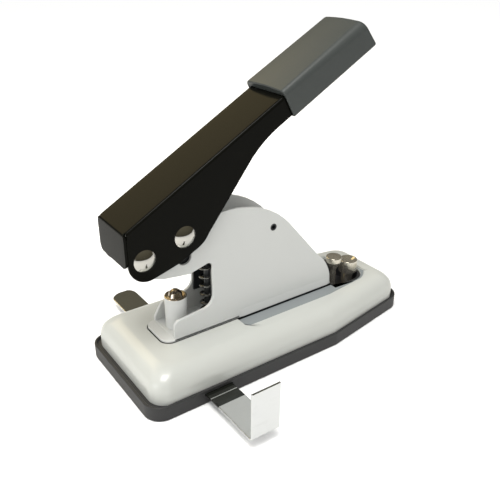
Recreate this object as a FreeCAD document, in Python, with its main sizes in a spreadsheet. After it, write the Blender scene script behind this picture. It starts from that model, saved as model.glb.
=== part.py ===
import FreeCAD, Part
import Sketcher
import math
import os

# Bench lever press that sets grommets: a folded steel frame on a moulded base,
# a lever that drives a sprung ram down onto a fixed die, and a sliding side guide.
# X runs to the rear, Y across, Z up; the die axis is X = Y = 0 and the table is Z = 0.

os.makedirs("parts", exist_ok=True)
doc = FreeCAD.newDocument("grommet_setter")

SIZES = {
    # base tray and cover
    "base_half_width": 40.0, "base_front": 37.5, "base_straight": 86.0, "base_rear": 153.0,
    "base_rear_half": 28.5, "base_front_radius": 10.0, "base_rear_radius": 11.7,
    "tray_height": 8.8, "tray_floor": 2.2, "tray_wall": 4.0, "tray_ledge": 1.7,
    "cover_foot": 7.7, "cover_setback": 2.0, "cover_top": 24.4, "cover_shoulder": 11.0, "cover_wall": 2.0,
    "recess_depth": 1.0, "recess_half": 22.2, "recess_front": 32.5,
    "well_half": 17.0, "well_front": 104.6, "well_rear": 133.0,
    # folded frame
    "frame_half": 12.3, "sheet": 1.8, "frame_front": 8.0, "frame_rear": 103.5,
    "web_top": 26.0, "jaw_front_top": 36.8, "jaw_top": 38.4, "throat_back": 16.8,
    "throat_top": 65.6, "arm_low": 62.6, "arm_top": 93.0,
    "tongue_front": 14.2, "opening_gap": 0.5,
    # lever and its two pins
    "fulcrum_x": 23.4, "fulcrum_z": 79.4, "ram_pin_x": 0.6, "ram_pin_z": 86.2,
    "pin_radius": 3.0, "dome_radius": 6.1, "dome_height": 2.6, "lever_half": 15.25,
    "lever_sheet": 1.4, "lever_angle": 29.6, "lever_nose": 10.0, "lever_skin": 18.8,
    "lever_length": 164.0, "grip_start": 106.2, "grip_length": 60.8, "grip_wall": 1.6,
    "grip_rise": 4.0, "grip_drop": 13.1,
    # ram, punch, die and spring
    "ram_travel": 12.3, "ram_half_x": 6.4, "ram_half_y": 9.9, "ram_low": 63.0, "ram_top": 91.6,
    "foot_rear": 27.5, "foot_half": 7.0, "foot_top": 69.0, "pin_slot": 3.2,
    "punch_radius": 5.8, "punch_low": 60.2, "die_radius": 6.2, "die_top": 45.2,
    "die_tip": 48.9, "pilot_radius": 3.2, "rod_x": 21.2, "rod_radius": 2.4, "rod_top": 76.0,
    "spring_mean": 4.5, "wire": 0.75, "spring_turns": 7.0,
    # side guide
    "guide_left": 6.3, "guide_right": 10.4, "guide_low": 5.3, "guide_sheet": 1.2,
    "guide_near": 81.2, "guide_far": 82.0, "guide_height": 33.8,
}

sheet = doc.addObject("Spreadsheet::Sheet", "sizes")
for row, (alias, value) in enumerate(SIZES.items(), start=1):
    sheet.set("A%d" % row, alias)
    sheet.set("B%d" % row, str(value))
    sheet.setAlias("B%d" % row, alias)
doc.recompute()


class Dim:
    """A driving size carried both as an expression and as its present value."""

    def __init__(self, text, value):
        self.text = text
        self.value = value

    def _join(self, other, sign, swap=False):
        other = other if isinstance(other, Dim) else Dim(repr(float(other)), float(other))
        left, right = (other, self) if swap else (self, other)
        results = {"+": left.value + right.value, "-": left.value - right.value,
                   "*": left.value * right.value}
        return Dim("(%s %s %s)" % (left.text, sign, right.text), results[sign])

    def __add__(self, other):
        return self._join(other, "+")

    def __radd__(self, other):
        return self._join(other, "+", True)

    def __sub__(self, other):
        return self._join(other, "-")

    def __rsub__(self, other):
        return self._join(other, "-", True)

    def __mul__(self, other):
        return self._join(other, "*")

    def __rmul__(self, other):
        return self._join(other, "*", True)

    def __neg__(self):
        return self._join(0.0, "-", True)


class Sizes:
    """Named sizes from the sheet, read as attributes."""

    def __getattr__(self, alias):
        return Dim("sizes." + alias, SIZES[alias])


S = Sizes()
EXPORTS = []


def dim(value):
    return value if isinstance(value, Dim) else Dim(repr(float(value)), float(value))


def bind(obj, prop, value):
    """Bind one property to its driving size."""
    obj.setExpression(prop, dim(value).text)


def place(obj, x=0.0, y=0.0, z=0.0):
    for axis, value in (("x", x), ("y", y), ("z", z)):
        bind(obj, "Placement.Base." + axis, value)
    return obj


def export(obj, label):
    obj.Label = label
    EXPORTS.append((obj, label))
    return obj


def box(name, x0, x1, y0, y1, z0, z1):
    """Box between named planes."""
    item = doc.addObject("Part::Box", name)
    bind(item, "Length", dim(x1) - dim(x0))
    bind(item, "Width", dim(y1) - dim(y0))
    bind(item, "Height", dim(z1) - dim(z0))
    return place(item, x0, y0, z0)


def rod(name, radius, length, x=0.0, y=0.0, z=0.0, axis="z"):
    """Cylinder standing on its start point along one axis."""
    item = doc.addObject("Part::Cylinder", name)
    bind(item, "Radius", radius)
    bind(item, "Height", length)
    turns = {"z": FreeCAD.Rotation(), "y": FreeCAD.Rotation(FreeCAD.Vector(1, 0, 0), -90),
             "x": FreeCAD.Rotation(FreeCAD.Vector(0, 1, 0), 90)}
    item.Placement = FreeCAD.Placement(FreeCAD.Vector(), turns[axis])
    return place(item, x, y, z)


def cone(name, low, top, length, x=0.0, y=0.0, z=0.0):
    item = doc.addObject("Part::Cone", name)
    bind(item, "Radius1", low)
    bind(item, "Radius2", top)
    bind(item, "Height", length)
    return place(item, x, y, z)


def cut(name, base, tools):
    """Base less one tool, or less several joined."""
    item = doc.addObject("Part::Cut", name)
    item.Base = base
    item.Tool = tools[0] if len(tools) == 1 else join(name + "_tools", tools)
    return item


def join(name, shapes):
    item = doc.addObject("Part::MultiFuse", name)
    item.Shapes = shapes
    return item


def group(name, shapes):
    """Identical pieces kept as separate solids under one name."""
    item = doc.addObject("Part::Compound", name)
    item.Links = shapes
    return item


def new_body(name):
    return doc.addObject("PartDesign::Body", name)


def sketch(body, name, role, points, offset=0.0):
    """Closed outline on an origin plane; a point is (u, v) or (u, v, radius) where the
    edge arriving at it is an arc, positive when its centre lies to the left."""
    item = body.newObject("Sketcher::SketchObject", name)
    plane = [f for f in body.Origin.OriginFeatures if f.Role == role][0]
    item.AttachmentSupport = [(plane, "")]
    item.MapMode = "FlatFace"
    bind(item, "AttachmentOffset.Base.z", offset)
    count = len(points)
    ends = [FreeCAD.Vector(dim(p[0]).value, dim(p[1]).value, 0) for p in points]
    start_of, end_of = [], []
    for k in range(count):
        a, b = ends[k - 1], ends[k]
        if len(points[k]) == 2:
            g = item.addGeometry(Part.LineSegment(a, b), False)
            start_of.append((g, 1))
            end_of.append((g, 2))
            continue
        radius = dim(points[k][2]).value
        chord = b.sub(a)
        left = FreeCAD.Vector(-chord.y, chord.x, 0).normalize()
        reach = math.sqrt(max(radius * radius - chord.Length ** 2 / 4.0, 0.0))
        centre = (a + b) * 0.5 + left * (reach if radius > 0 else -reach)
        first, last = (a, b) if radius > 0 else (b, a)
        t0 = math.atan2(first.y - centre.y, first.x - centre.x)
        t1 = math.atan2(last.y - centre.y, last.x - centre.x)
        circle = Part.Circle(centre, FreeCAD.Vector(0, 0, 1), abs(radius))
        g = item.addGeometry(Part.ArcOfCircle(circle, t0, t1 if t1 > t0 else t1 + 2 * math.pi))
        start_of.append((g, 1 if radius > 0 else 2))
        end_of.append((g, 2 if radius > 0 else 1))
        c = item.addConstraint(Sketcher.Constraint("Radius", g, abs(radius)))
        sign = dim(points[k][2])
        bind(item, "Constraints[%d]" % c, sign if radius > 0 else -sign)
    for k in range(count):
        nxt = (k + 1) % count
        item.addConstraint(Sketcher.Constraint("Coincident", *end_of[k], *start_of[nxt]))
        for kind, value in (("DistanceX", points[k][0]), ("DistanceY", points[k][1])):
            c = item.addConstraint(Sketcher.Constraint(kind, -1, 1, *end_of[k], dim(value).value))
            bind(item, "Constraints[%d]" % c, value)
    return item


def pad(body, name, profile, length, middle=False, back=False):
    item = body.newObject("PartDesign::Pad", name)
    item.Profile = profile
    item.SideType = "Symmetric" if middle else "One side"
    item.Reversed = back
    bind(item, "Length", length)
    body.Tip = item
    return item


def pocket(body, name, profile, depth, middle=False, back=False):
    """Pocket whose effect is checked against the volume before it."""
    doc.recompute()
    before = body.Shape.Volume
    item = body.newObject("PartDesign::Pocket", name)
    item.Profile = profile
    item.SideType = "Symmetric" if middle else "One side"
    item.Reversed = back
    bind(item, "Length", depth)
    body.Tip = item
    doc.recompute()
    if not body.Shape.Volume < before - 1e-3:
        raise RuntimeError("pocket %s removes nothing" % name)
    return item


def fillet(body, name, radius, test):
    """Round every edge of the tip that passes the test on its middle point."""
    doc.recompute()
    tip = body.Tip
    names = []
    for k, edge in enumerate(tip.Shape.Edges, start=1):
        middle = edge.valueAt((edge.FirstParameter + edge.LastParameter) / 2.0)
        if test(middle, edge):
            names.append("Edge%d" % k)
    item = body.newObject("PartDesign::Fillet", name)
    item.Base = (tip, names)
    bind(item, "Radius", radius)
    body.Tip = item
    return item


def base_outline(inset, front_radius, rear_radius, setback=0.0):
    """Plan of the base: straight front part tapering to a narrower rear, all inset, with
    the front and rear ends set back further."""
    half = S.base_half_width - inset
    rf, rr = front_radius, rear_radius
    lean = (SIZES["base_half_width"] - SIZES["base_rear_half"]) / (
        SIZES["base_rear"] - SIZES["base_straight"])
    front = -S.base_front + inset + setback
    rear = S.base_rear - inset - setback
    rear_half = S.base_rear_half - inset + dim(setback) * lean
    back = rr * 0.86
    return [(front, -half + rf), (front + rf, -half, rf), (S.base_straight, -half),
            (rear - back, -rear_half - back * lean), (rear, -rear_half + rr * 0.84, rr),
            (rear, rear_half - rr * 0.84), (rear - back, rear_half + back * lean, rr),
            (S.base_straight, half), (front + rf, half), (front, half - rf, rf)]


# ---- bottom tray -------------------------------------------------------------------
tray = new_body("tray")
tray_plan = sketch(tray, "tray_plan", "XY_Plane",
                   base_outline(0.0, S.base_front_radius, S.base_rear_radius))
pad(tray, "tray_block", tray_plan, S.tray_height)
tray_bowl = sketch(tray, "tray_bowl", "XY_Plane",
                   base_outline(S.tray_wall, S.base_front_radius - 3.5, S.base_rear_radius - 3.5),
                   S.tray_floor)
pocket(tray, "tray_hollow", tray_bowl, S.tray_height, back=True)
tray_step = sketch(tray, "tray_step", "XY_Plane",
                   base_outline(S.tray_ledge - 0.2, S.base_front_radius - 1.4,
                                S.base_rear_radius - 1.4), S.cover_foot - 0.1)
pocket(tray, "tray_rabbet", tray_step, S.tray_height, back=True)
FEET = [(-22.0, -27.0), (-22.0, 27.0), (129.0, -18.0), (129.0, 18.0)]
TRAY_SCREWS = [(-29.0, -10.0), (-29.0, 10.0), (140.0, -9.0), (140.0, 9.0)]
FRAME_SCREWS = [(30.0, -6.0), (30.0, 6.0), (88.0, -6.0), (88.0, 6.0)]
tray_holes = []
for k, (x, y) in enumerate(FEET):
    tray_holes.append(rod("foot_seat_%d" % k, 6.2, 1.4, x, y, -0.1))
for k, (x, y) in enumerate(TRAY_SCREWS + FRAME_SCREWS):
    tray_holes.append(rod("screw_way_%d" % k, 1.8, 4.0, x, y, -0.1))
    tray_holes.append(rod("head_way_%d" % k, 3.4, 1.4, x, y, -0.1))
tray_holes.append(box("guide_way", -S.guide_left - 0.4, S.guide_right + 0.4,
                      -S.base_half_width - 1.0, S.base_half_width + 1.0,
                      S.guide_low - 0.35, S.guide_low + S.guide_sheet + 0.35))
export(cut("tray_cut", tray, tray_holes), "bottom_tray")

# ---- top cover ----------------------------------------------------------------------
shell = new_body("cover_outer")
shell_plan = sketch(shell, "cover_plan", "XY_Plane",
                    base_outline(S.tray_ledge, S.base_front_radius,
                                 S.base_rear_radius - 1.7, S.cover_setback), S.cover_foot)
pad(shell, "cover_block", shell_plan, S.cover_top - S.cover_foot)
cover_z = SIZES["cover_top"]
fillet(shell, "cover_shoulder_round", S.cover_shoulder,
       lambda m, e: abs(m.z - cover_z) < 1e-3 and abs(e.valueAt(e.FirstParameter).z - cover_z) < 1e-3)
hollow = new_body("cover_inner")
hollow_plan = sketch(hollow, "cover_hollow_plan", "XY_Plane",
                     base_outline(S.tray_ledge + S.cover_wall, S.base_front_radius - 2.0,
                                  S.base_rear_radius - 3.5, S.cover_setback), S.cover_foot - 1.0)
pad(hollow, "cover_hollow", hollow_plan, S.cover_top - S.cover_foot - S.cover_wall + 1.0)
inner_z = SIZES["cover_top"] - SIZES["cover_wall"]
fillet(hollow, "cover_hollow_round", S.cover_shoulder - S.cover_wall,
       lambda m, e: abs(m.z - inner_z) < 1e-3 and abs(e.valueAt(e.FirstParameter).z - inner_z) < 1e-3)
cover_shell = cut("cover_shell", shell, [hollow])
bosses = [rod("cover_boss_%d" % k, 3.6, 10.8, x, y, S.tray_floor + 0.15)
          for k, (x, y) in enumerate(TRAY_SCREWS[:2])]
bosses += [rod("cover_boss_r%d" % k, 3.6, 10.8, x, y, S.tray_floor + 0.15)
           for k, (x, y) in enumerate(TRAY_SCREWS[2:])]
bosses += [rod("cover_rib_%d" % k, 2.2, 12.0, x, y, 11.0)
           for k, (x, y) in enumerate(TRAY_SCREWS)]
boss_limit = new_body("boss_limit")
boss_plan = sketch(boss_limit, "boss_limit_plan", "XY_Plane",
                   base_outline(S.tray_ledge + 1.0, S.base_front_radius - 1.0,
                                S.base_rear_radius - 2.7, S.cover_setback), 0.0)
pad(boss_limit, "boss_limit_block", boss_plan, S.cover_top - 1.0)
boss_z = SIZES["cover_top"] - 1.0
fillet(boss_limit, "boss_limit_round", S.cover_shoulder - 1.0,
       lambda m, e: abs(m.z - boss_z) < 1e-3 and abs(e.valueAt(e.FirstParameter).z - boss_z) < 1e-3)
boss_set = doc.addObject("Part::MultiCommon", "cover_bosses")
boss_set.Shapes = [join("cover_boss_join", bosses), boss_limit]
cover_full = join("cover_full", [cover_shell, boss_set])
recess = new_body("cover_recess")
recess_plan = sketch(recess, "recess_plan", "XY_Plane", [
    (S.recess_front, -S.recess_half + 3.0), (S.recess_front + 3.0, -S.recess_half, 3.0),
    (S.well_front - 10.0, -S.recess_half), (S.well_front + 16.0, -S.well_half - 1.8),
    (S.well_rear + 2.0, -S.well_half + 13.0, 16.0), (S.well_rear + 2.0, S.well_half - 13.0),
    (S.well_front + 16.0, S.well_half + 1.8, 16.0), (S.well_front - 10.0, S.recess_half),
    (S.recess_front + 3.0, S.recess_half), (S.recess_front, S.recess_half - 3.0, 3.0)],
    S.cover_top - S.recess_depth)
pad(recess, "recess_block", recess_plan, 6.0)
edge = S.frame_half + S.opening_gap
window = new_body("cover_window")
nose = S.tongue_front + S.opening_gap
window_plan = sketch(window, "window_plan", "XY_Plane", [
    (-nose, -edge + 6.5), (-nose + 6.5, -edge, 6.5), (S.frame_rear + S.opening_gap, -edge),
    (S.frame_rear + S.opening_gap, edge), (-nose + 6.5, edge), (-nose, edge - 6.5, 6.5)], 10.0)
pad(window, "window_block", window_plan, 30.0)
well_gap = new_body("cover_well")
well_plan = sketch(well_gap, "well_plan", "XY_Plane", [
    (S.well_front, -S.well_half + 3.0), (S.well_front + 3.0, -S.well_half, 3.0),
    (S.well_rear - 12.0, -S.well_half), (S.well_rear, -S.well_half + 12.0, 12.0),
    (S.well_rear, S.well_half - 12.0), (S.well_rear - 12.0, S.well_half, 12.0),
    (S.well_front + 3.0, S.well_half), (S.well_front, S.well_half - 3.0, 3.0)], 10.0)
pad(well_gap, "well_block", well_plan, 30.0)
pilots = [rod("cover_pilot_%d" % k, 1.5, 8.0, x, y, 2.0) for k, (x, y) in enumerate(TRAY_SCREWS)]
export(cut("cover_cut", cover_full, [recess, window, well_gap] + pilots), "top_cover")

# ---- folded frame: two side plates, the web between them and a short front tongue ---
frame = new_body("frame")
P1X, P1Z = -S.fulcrum_x, S.fulcrum_z
frame_side = sketch(frame, "frame_side", "XZ_Plane", [
    (-S.frame_front, S.web_top - S.sheet), (S.frame_rear, S.web_top - S.sheet),
    (S.frame_rear - 0.6, S.web_top + 5.4), (S.frame_rear - 6.5, S.web_top + 17.4, 32.0),
    (S.frame_rear - 11.0, S.web_top + 21.6), (S.frame_rear - 34.0, S.web_top + 48.4),
    (S.frame_rear - 65.5, S.arm_top - 1.2, 52.0), (S.frame_rear - 79.5, S.arm_top, 60.0),
    (-S.fulcrum_x + 2.0, S.fulcrum_z + 7.9),
    (P1X - 7.9, P1Z - 0.5, 8.2), (P1X - 3.0, P1Z - 10.4, 11.0),
    (-12.0, S.arm_low + 1.7), (3.0, S.arm_low),
    (S.throat_back - 3.0, S.throat_top), (S.throat_back, S.throat_top - 3.0, -3.0),
    (S.throat_back, S.jaw_top + 7.0), (S.throat_back - 7.0, S.jaw_top, -7.0),
    (-3.5, S.jaw_front_top), (-S.frame_front, S.jaw_front_top - 3.6, 4.0)])
pad(frame, "frame_block", frame_side, S.frame_half * 2.0, middle=True)
inside = sketch(frame, "frame_inside", "XZ_Plane", [
    (-S.fulcrum_x - 20.0, S.web_top), (S.frame_rear + 5.0, S.web_top),
    (S.frame_rear + 5.0, S.arm_top + 10.0), (-S.fulcrum_x - 20.0, S.arm_top + 10.0)])
pocket(frame, "frame_channel_cut", inside, (S.frame_half - S.sheet) * 2.0, middle=True)
tongue = new_body("tongue")
tongue_plan = sketch(tongue, "tongue_plan", "XY_Plane", [
    (-S.tongue_front, -S.frame_half + 6.0), (-S.tongue_front + 6.0, -S.frame_half, 6.0),
    (-S.frame_front + 0.5, -S.frame_half), (-S.frame_front + 0.5, S.frame_half),
    (-S.tongue_front + 6.0, S.frame_half), (-S.tongue_front, S.frame_half - 6.0, 6.0)],
    S.web_top - S.sheet)
pad(tongue, "tongue_plate", tongue_plan, S.sheet - 0.5)
full = S.frame_half * 2.0 + 2.0
slot_low = S.ram_pin_z - S.ram_travel - S.pin_radius - 1.6
frame_holes = [
    rod("fulcrum_way", S.pin_radius + 0.05, full, P1X, -S.frame_half - 1.0, P1Z, "y"),
    box("ram_pin_way", -4.2, 4.2, -S.frame_half - 1.0, S.frame_half + 1.0,
        slot_low + 3.0, S.ram_pin_z + 2.2),
    rod("ram_pin_way_end", 4.2, full, 0.0, -S.frame_half - 1.0, slot_low + 3.9, "y"),
    rod("ram_pin_way_top", 4.2, full, 0.0, -S.frame_half - 1.0, S.ram_pin_z + 0.2, "y"),
    rod("spacer_way", 2.05, full, 57.4, -S.frame_half - 1.0, 75.4, "y"),
    rod("die_way", 3.05, 8.0, 0.0, 0.0, S.web_top - 5.0),
    rod("rod_way", 1.55, 8.0, S.rod_x, 0.0, S.web_top - 5.0)]
frame_holes += [rod("frame_screw_way_%d" % k, 2.2, 8.0, x, y, S.web_top - 5.0)
                for k, (x, y) in enumerate(FRAME_SCREWS)]
far_front = new_body("far_front")
far_corner = sketch(far_front, "far_corner", "XZ_Plane", [
    (-S.frame_front - 1.0, 26.6), (-3.6, 35.9), (-1.0, S.jaw_top - 0.6), (-1.0, S.jaw_top + 3.0),
    (-S.frame_front - 1.0, S.jaw_top + 3.0)], -(S.frame_half - S.sheet))
pad(far_front, "far_corner_block", far_corner, 6.0, back=True)
frame_holes.append(far_front)
frame_whole = join("frame_whole", [frame, tongue])
export(cut("frame_cut", frame_whole, frame_holes), "frame_channel")

# ---- riser block, mounting plate and the screws that clamp the frame down -----------
riser_low = S.tray_floor + 3.0
riser = box("riser_block", -13.0, 99.0, -9.6, 9.6, riser_low, S.web_top - S.sheet)
riser_ways = [box("riser_tunnel", -S.guide_left - 1.2, S.guide_right + 1.2, -11.0, 11.0,
                  riser_low - 1.0, riser_low + 4.0),
              rod("riser_die_way", 3.05, 30.0, 0.0, 0.0, riser_low),
              rod("riser_nut_way", 6.2, 6.3, 0.0, 0.0, riser_low + 3.0),
              rod("riser_rod_way", 2.5, 4.0, S.rod_x, 0.0, S.web_top - 5.0),
              box("riser_pocket", 38.0, 80.0, -6.0, 6.0, riser_low - 1.0, 20.0)]
riser_ways += [rod("riser_screw_way_%d" % k, 2.02, 30.0, x, y, 0.0)
               for k, (x, y) in enumerate(FRAME_SCREWS)]
export(cut("riser_cut", riser, riser_ways), "frame_riser")
plate = box("plate_block", -14.0, 100.0, -30.0, 30.0, S.tray_floor, riser_low)
plate_ways = [rod("plate_screw_way_%d" % k, 2.2, 6.0, x, y, 1.0)
              for k, (x, y) in enumerate(FRAME_SCREWS)]
plate_ways.append(box("plate_guide_way", -S.guide_left - 0.4, S.guide_right + 0.4, -31.0, 31.0,
                      S.guide_low - 0.35, 9.0))
export(cut("plate_cut", plate, plate_ways), "mounting_plate")


def screw(name, radius, head, x, y, low, top):
    """Plain screw: shank with a flat round head below."""
    shank = rod(name + "_shank", radius, dim(top) - dim(low), x, y, low)
    cap = rod(name + "_head", head, 0.9, x, y, low)
    return join(name, [shank, cap])


export(group("frame_screw_set", [screw("frame_screw_%d" % k, 1.7, 3.2, x, y, 0.3, 26.0)
                                 for k, (x, y) in enumerate(FRAME_SCREWS)]), "frame_screws")
export(group("tray_screw_set", [screw("tray_screw_%d" % k, 1.45, 3.2, x, y, 0.3, 9.8)
                                for k, (x, y) in enumerate(TRAY_SCREWS)]), "tray_screws")
export(group("feet_set", [rod("foot_%d" % k, 6.0, 1.3, x, y, 0.0)
                          for k, (x, y) in enumerate(FEET)]), "rubber_feet")

# ---- die post, its nut and the pilot ---------------------------------------------------
die_body = new_body("die")
R = S.die_radius
die_half = sketch(die_body, "die_profile", "XZ_Plane", [
    (0.0, 9.5), (2.9, 9.5), (2.9, S.web_top), (R, S.web_top), (R, S.die_top - 0.5),
    (R - 0.5, S.die_top), (R - 1.1, S.die_top), (S.pilot_radius + 0.9, S.die_top - 1.0, -4.0),
    (S.pilot_radius, S.die_top - 0.2, -2.0), (S.pilot_radius, S.die_tip - 2.0),
    (0.6, S.die_tip, 3.2), (0.0, S.die_tip)])
turn = die_body.newObject("PartDesign::Revolution", "die_turned")
turn.Profile = die_half
turn.ReferenceAxis = (die_half, ["V_Axis"])
turn.Angle = 360.0
die_body.Tip = turn
export(die_body, "die_post")
nut = doc.addObject("Part::Prism", "nut_blank")
nut.Polygon = 6
bind(nut, "Circumradius", 5.6)
bind(nut, "Height", 4.6)
place(nut, 0.0, 0.0, 9.9)
export(cut("nut_cut", nut, [rod("nut_way", 2.9, 8.0, 0.0, 0.0, 9.0)]), "die_nut")

# ---- ram: column with a rear foot over the spring, its punch and set screw --------------
ram = new_body("ram")
ram_side = sketch(ram, "ram_side", "XZ_Plane", [
    (-S.ram_half_x, S.ram_low), (S.ram_half_x, S.ram_low), (S.ram_half_x, S.ram_top),
    (-S.ram_half_x, S.ram_top)])
pad(ram, "ram_column", ram_side, S.ram_half_y * 2.0, middle=True)
foot_side = sketch(ram, "foot_side", "XZ_Plane", [
    (S.ram_half_x - 1.0, S.ram_low), (S.foot_rear, S.ram_low), (S.foot_rear, S.foot_top),
    (S.ram_half_x + 4.0, S.foot_top), (S.ram_half_x - 1.0, S.foot_top + 5.0)])
pad(ram, "ram_foot", foot_side, S.foot_half * 2.0, middle=True)
pin_line = -S.ram_pin_x + 0.5
ram_slot = sketch(ram, "ram_slot", "XZ_Plane", [
    (pin_line - 0.9, S.ram_pin_z - S.pin_slot, S.pin_slot),
    (pin_line + 0.9, S.ram_pin_z - S.pin_slot),
    (pin_line + 0.9 + S.pin_slot, S.ram_pin_z, S.pin_slot),
    (pin_line + 0.9, S.ram_pin_z + S.pin_slot, S.pin_slot),
    (pin_line - 0.9, S.ram_pin_z + S.pin_slot),
    (pin_line - 0.9 - S.pin_slot, S.ram_pin_z, S.pin_slot)])
pocket(ram, "ram_pin_slot", ram_slot, 30.0, middle=True)
ram_ways = [rod("ram_rod_way", S.rod_radius + 0.08, 30.0, S.rod_x, 0.0, S.ram_low - 5.0),
            rod("punch_way", 4.3, 11.6, 0.0, 0.0, S.ram_low - 1.0),
            rod("set_screw_way", 1.6, 8.0, -9.0, 0.0, 66.0, "x")]
export(cut("ram_cut", ram, ram_ways), "ram_block")
punch = new_body("punch")
punch_profile = sketch(punch, "punch_profile", "XZ_Plane", [
    (S.pilot_radius + 0.35, S.punch_low + 0.7), (S.pilot_radius + 1.1, S.punch_low, 1.2),
    (S.punch_radius - 0.5, S.punch_low), (S.punch_radius, S.punch_low + 0.5),
    (S.punch_radius, S.ram_low), (4.3, S.ram_low), (4.3, S.ram_low + 10.0), (0.0, S.ram_low + 10.0),
    (0.0, S.punch_low + 6.4), (S.pilot_radius + 0.35, S.punch_low + 6.4)])
punch_turn = punch.newObject("PartDesign::Revolution", "punch_turned")
punch_turn.Profile = punch_profile
punch_turn.ReferenceAxis = (punch_profile, ["V_Axis"])
punch_turn.Angle = 360.0
punch.Tip = punch_turn
export(punch, "setting_punch")
export(rod("set_screw", 1.6, 1.98, -6.3, 0.0, 66.0, "x"), "punch_set_screw")

# ---- guide rod, spring seat, return spring and the black bracket round them -------------
rod_main = rod("guide_rod_main", S.rod_radius, S.rod_top - S.web_top, S.rod_x, 0.0, S.web_top)
rod_tail = rod("guide_rod_tail", 1.5, 3.6, S.rod_x, 0.0, S.web_top - 3.5)
rod_top = cone("guide_rod_point", S.rod_radius, S.rod_radius - 1.0, 1.5, S.rod_x, 0.0, S.rod_top)
export(join("guide_rod_whole", [rod_main, rod_tail, rod_top]), "guide_rod")
seat = rod("seat_disc", 6.0, 1.0, S.rod_x, 0.0, S.web_top)
export(cut("seat_cut", seat, [rod("seat_way", S.rod_radius + 0.03, 4.0, S.rod_x, 0.0, S.web_top - 1.0)]),
       "spring_seat")
coil_low = S.web_top + 1.05 + S.wire
coil_high = S.ram_low - 0.25 - S.wire
helix = doc.addObject("Part::Helix", "spring_path")
bind(helix, "Radius", S.spring_mean)
bind(helix, "Height", coil_high - coil_low)
helix.setExpression("Pitch", "(%s) / sizes.spring_turns" % (coil_high - coil_low).text)
ring = doc.addObject("Part::Circle", "spring_wire")
bind(ring, "Radius", S.wire)
ring.Placement = FreeCAD.Placement(FreeCAD.Vector(), FreeCAD.Rotation(FreeCAD.Vector(1, 0, 0), 90))
place(ring, S.spring_mean, 0.0, 0.0)
coil = doc.addObject("Part::Sweep", "spring_coil")
coil.Sections = [ring]
coil.Spine = (helix, [])
coil.Solid = True
coil.Frenet = True
place(coil, S.rod_x, 0.0, coil_low)
export(coil, "return_spring")
wall = S.frame_half - S.sheet
bracket_outer = box("bracket_outer", S.throat_back + 0.2, 33.0, -wall, wall, 38.4, 60.0)
bracket_inner = box("bracket_inner", S.throat_back - 1.0, 31.6, -wall + 1.4, wall - 1.4, 37.0, 61.0)
export(cut("bracket_cut", bracket_outer, [bracket_inner]), "guide_bracket")
tube = rod("spacer_tube", 2.0, S.frame_half * 2.0, 57.4, -S.frame_half, 75.4, "y")
sleeve = rod("spacer_sleeve", 4.0, (S.frame_half - S.sheet - 0.05) * 2.0, 57.4,
             -(S.frame_half - S.sheet - 0.05), 75.4, "y")
spacer = join("spacer_whole", [tube, sleeve])
export(cut("spacer_cut", spacer, [rod("spacer_bore", 1.3, 40.0, 57.4, -20.0, 75.4, "y")]),
       "rear_spacer")

# ---- lever: folded channel, open below, turning on the fulcrum pin ------------------------
tilt = math.radians(SIZES["lever_angle"])
lever = new_body("lever")
UX, UZ = math.cos(tilt), math.sin(tilt)


def along(distance, rise):
    """Point given along the lever and square to it, both from the fulcrum."""
    distance, rise = dim(distance), dim(rise)
    x = P1X + distance * UX - rise * UZ
    z = P1Z + distance * UZ + rise * UX
    return x, z


lever_side = sketch(lever, "lever_side", "XZ_Plane", [
    (P1X - S.lever_nose, P1Z), (P1X + 1.9, P1Z - S.lever_nose + 0.2, S.lever_nose),
    (-4.6, 72.7), (6.5, 78.0), (13.4, 84.6, 16.0), along(75.5, 3.5),
    along(96.0, 7.0) + (-62.0,),
    along(S.lever_length, 7.0), along(S.lever_length, S.lever_skin),
    along(2.4, S.lever_skin), (P1X - S.lever_nose, P1Z + 15.0, 2.8)])
pad(lever, "lever_block", lever_side, S.lever_half * 2.0, middle=True)
skin = S.lever_skin - S.lever_sheet
lever_inside = sketch(lever, "lever_inside", "XZ_Plane", [
    (P1X - S.lever_nose + S.lever_sheet, P1Z - 2.6), (P1X - S.lever_nose + S.lever_sheet, 50.0),
    along(S.lever_length + 1.0, -60.0), along(S.lever_length + 1.0, skin), along(2.4, skin),
    (P1X - S.lever_nose + S.lever_sheet, P1Z + 14.2)])
pocket(lever, "lever_channel", lever_inside, (S.lever_half - S.lever_sheet) * 2.0, middle=True)
outer = S.lever_half * 2.0 + 2.0
flap_gap = box("flap_gap", P1X - S.lever_nose - 1.0, P1X - S.lever_nose + S.lever_sheet + 0.4,
               -S.lever_half + S.lever_sheet, S.lever_half - S.lever_sheet, 60.0, P1Z - 2.8)
lever_ways = [
    rod("lever_fulcrum_way", S.pin_radius, outer, P1X, -S.lever_half - 1.0, P1Z, "y"),
    rod("lever_ram_way", S.pin_radius, outer, -S.ram_pin_x, -S.lever_half - 1.0, S.ram_pin_z, "y"),
    flap_gap]
export(cut("lever_cut", lever, lever_ways), "handle_lever")

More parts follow.
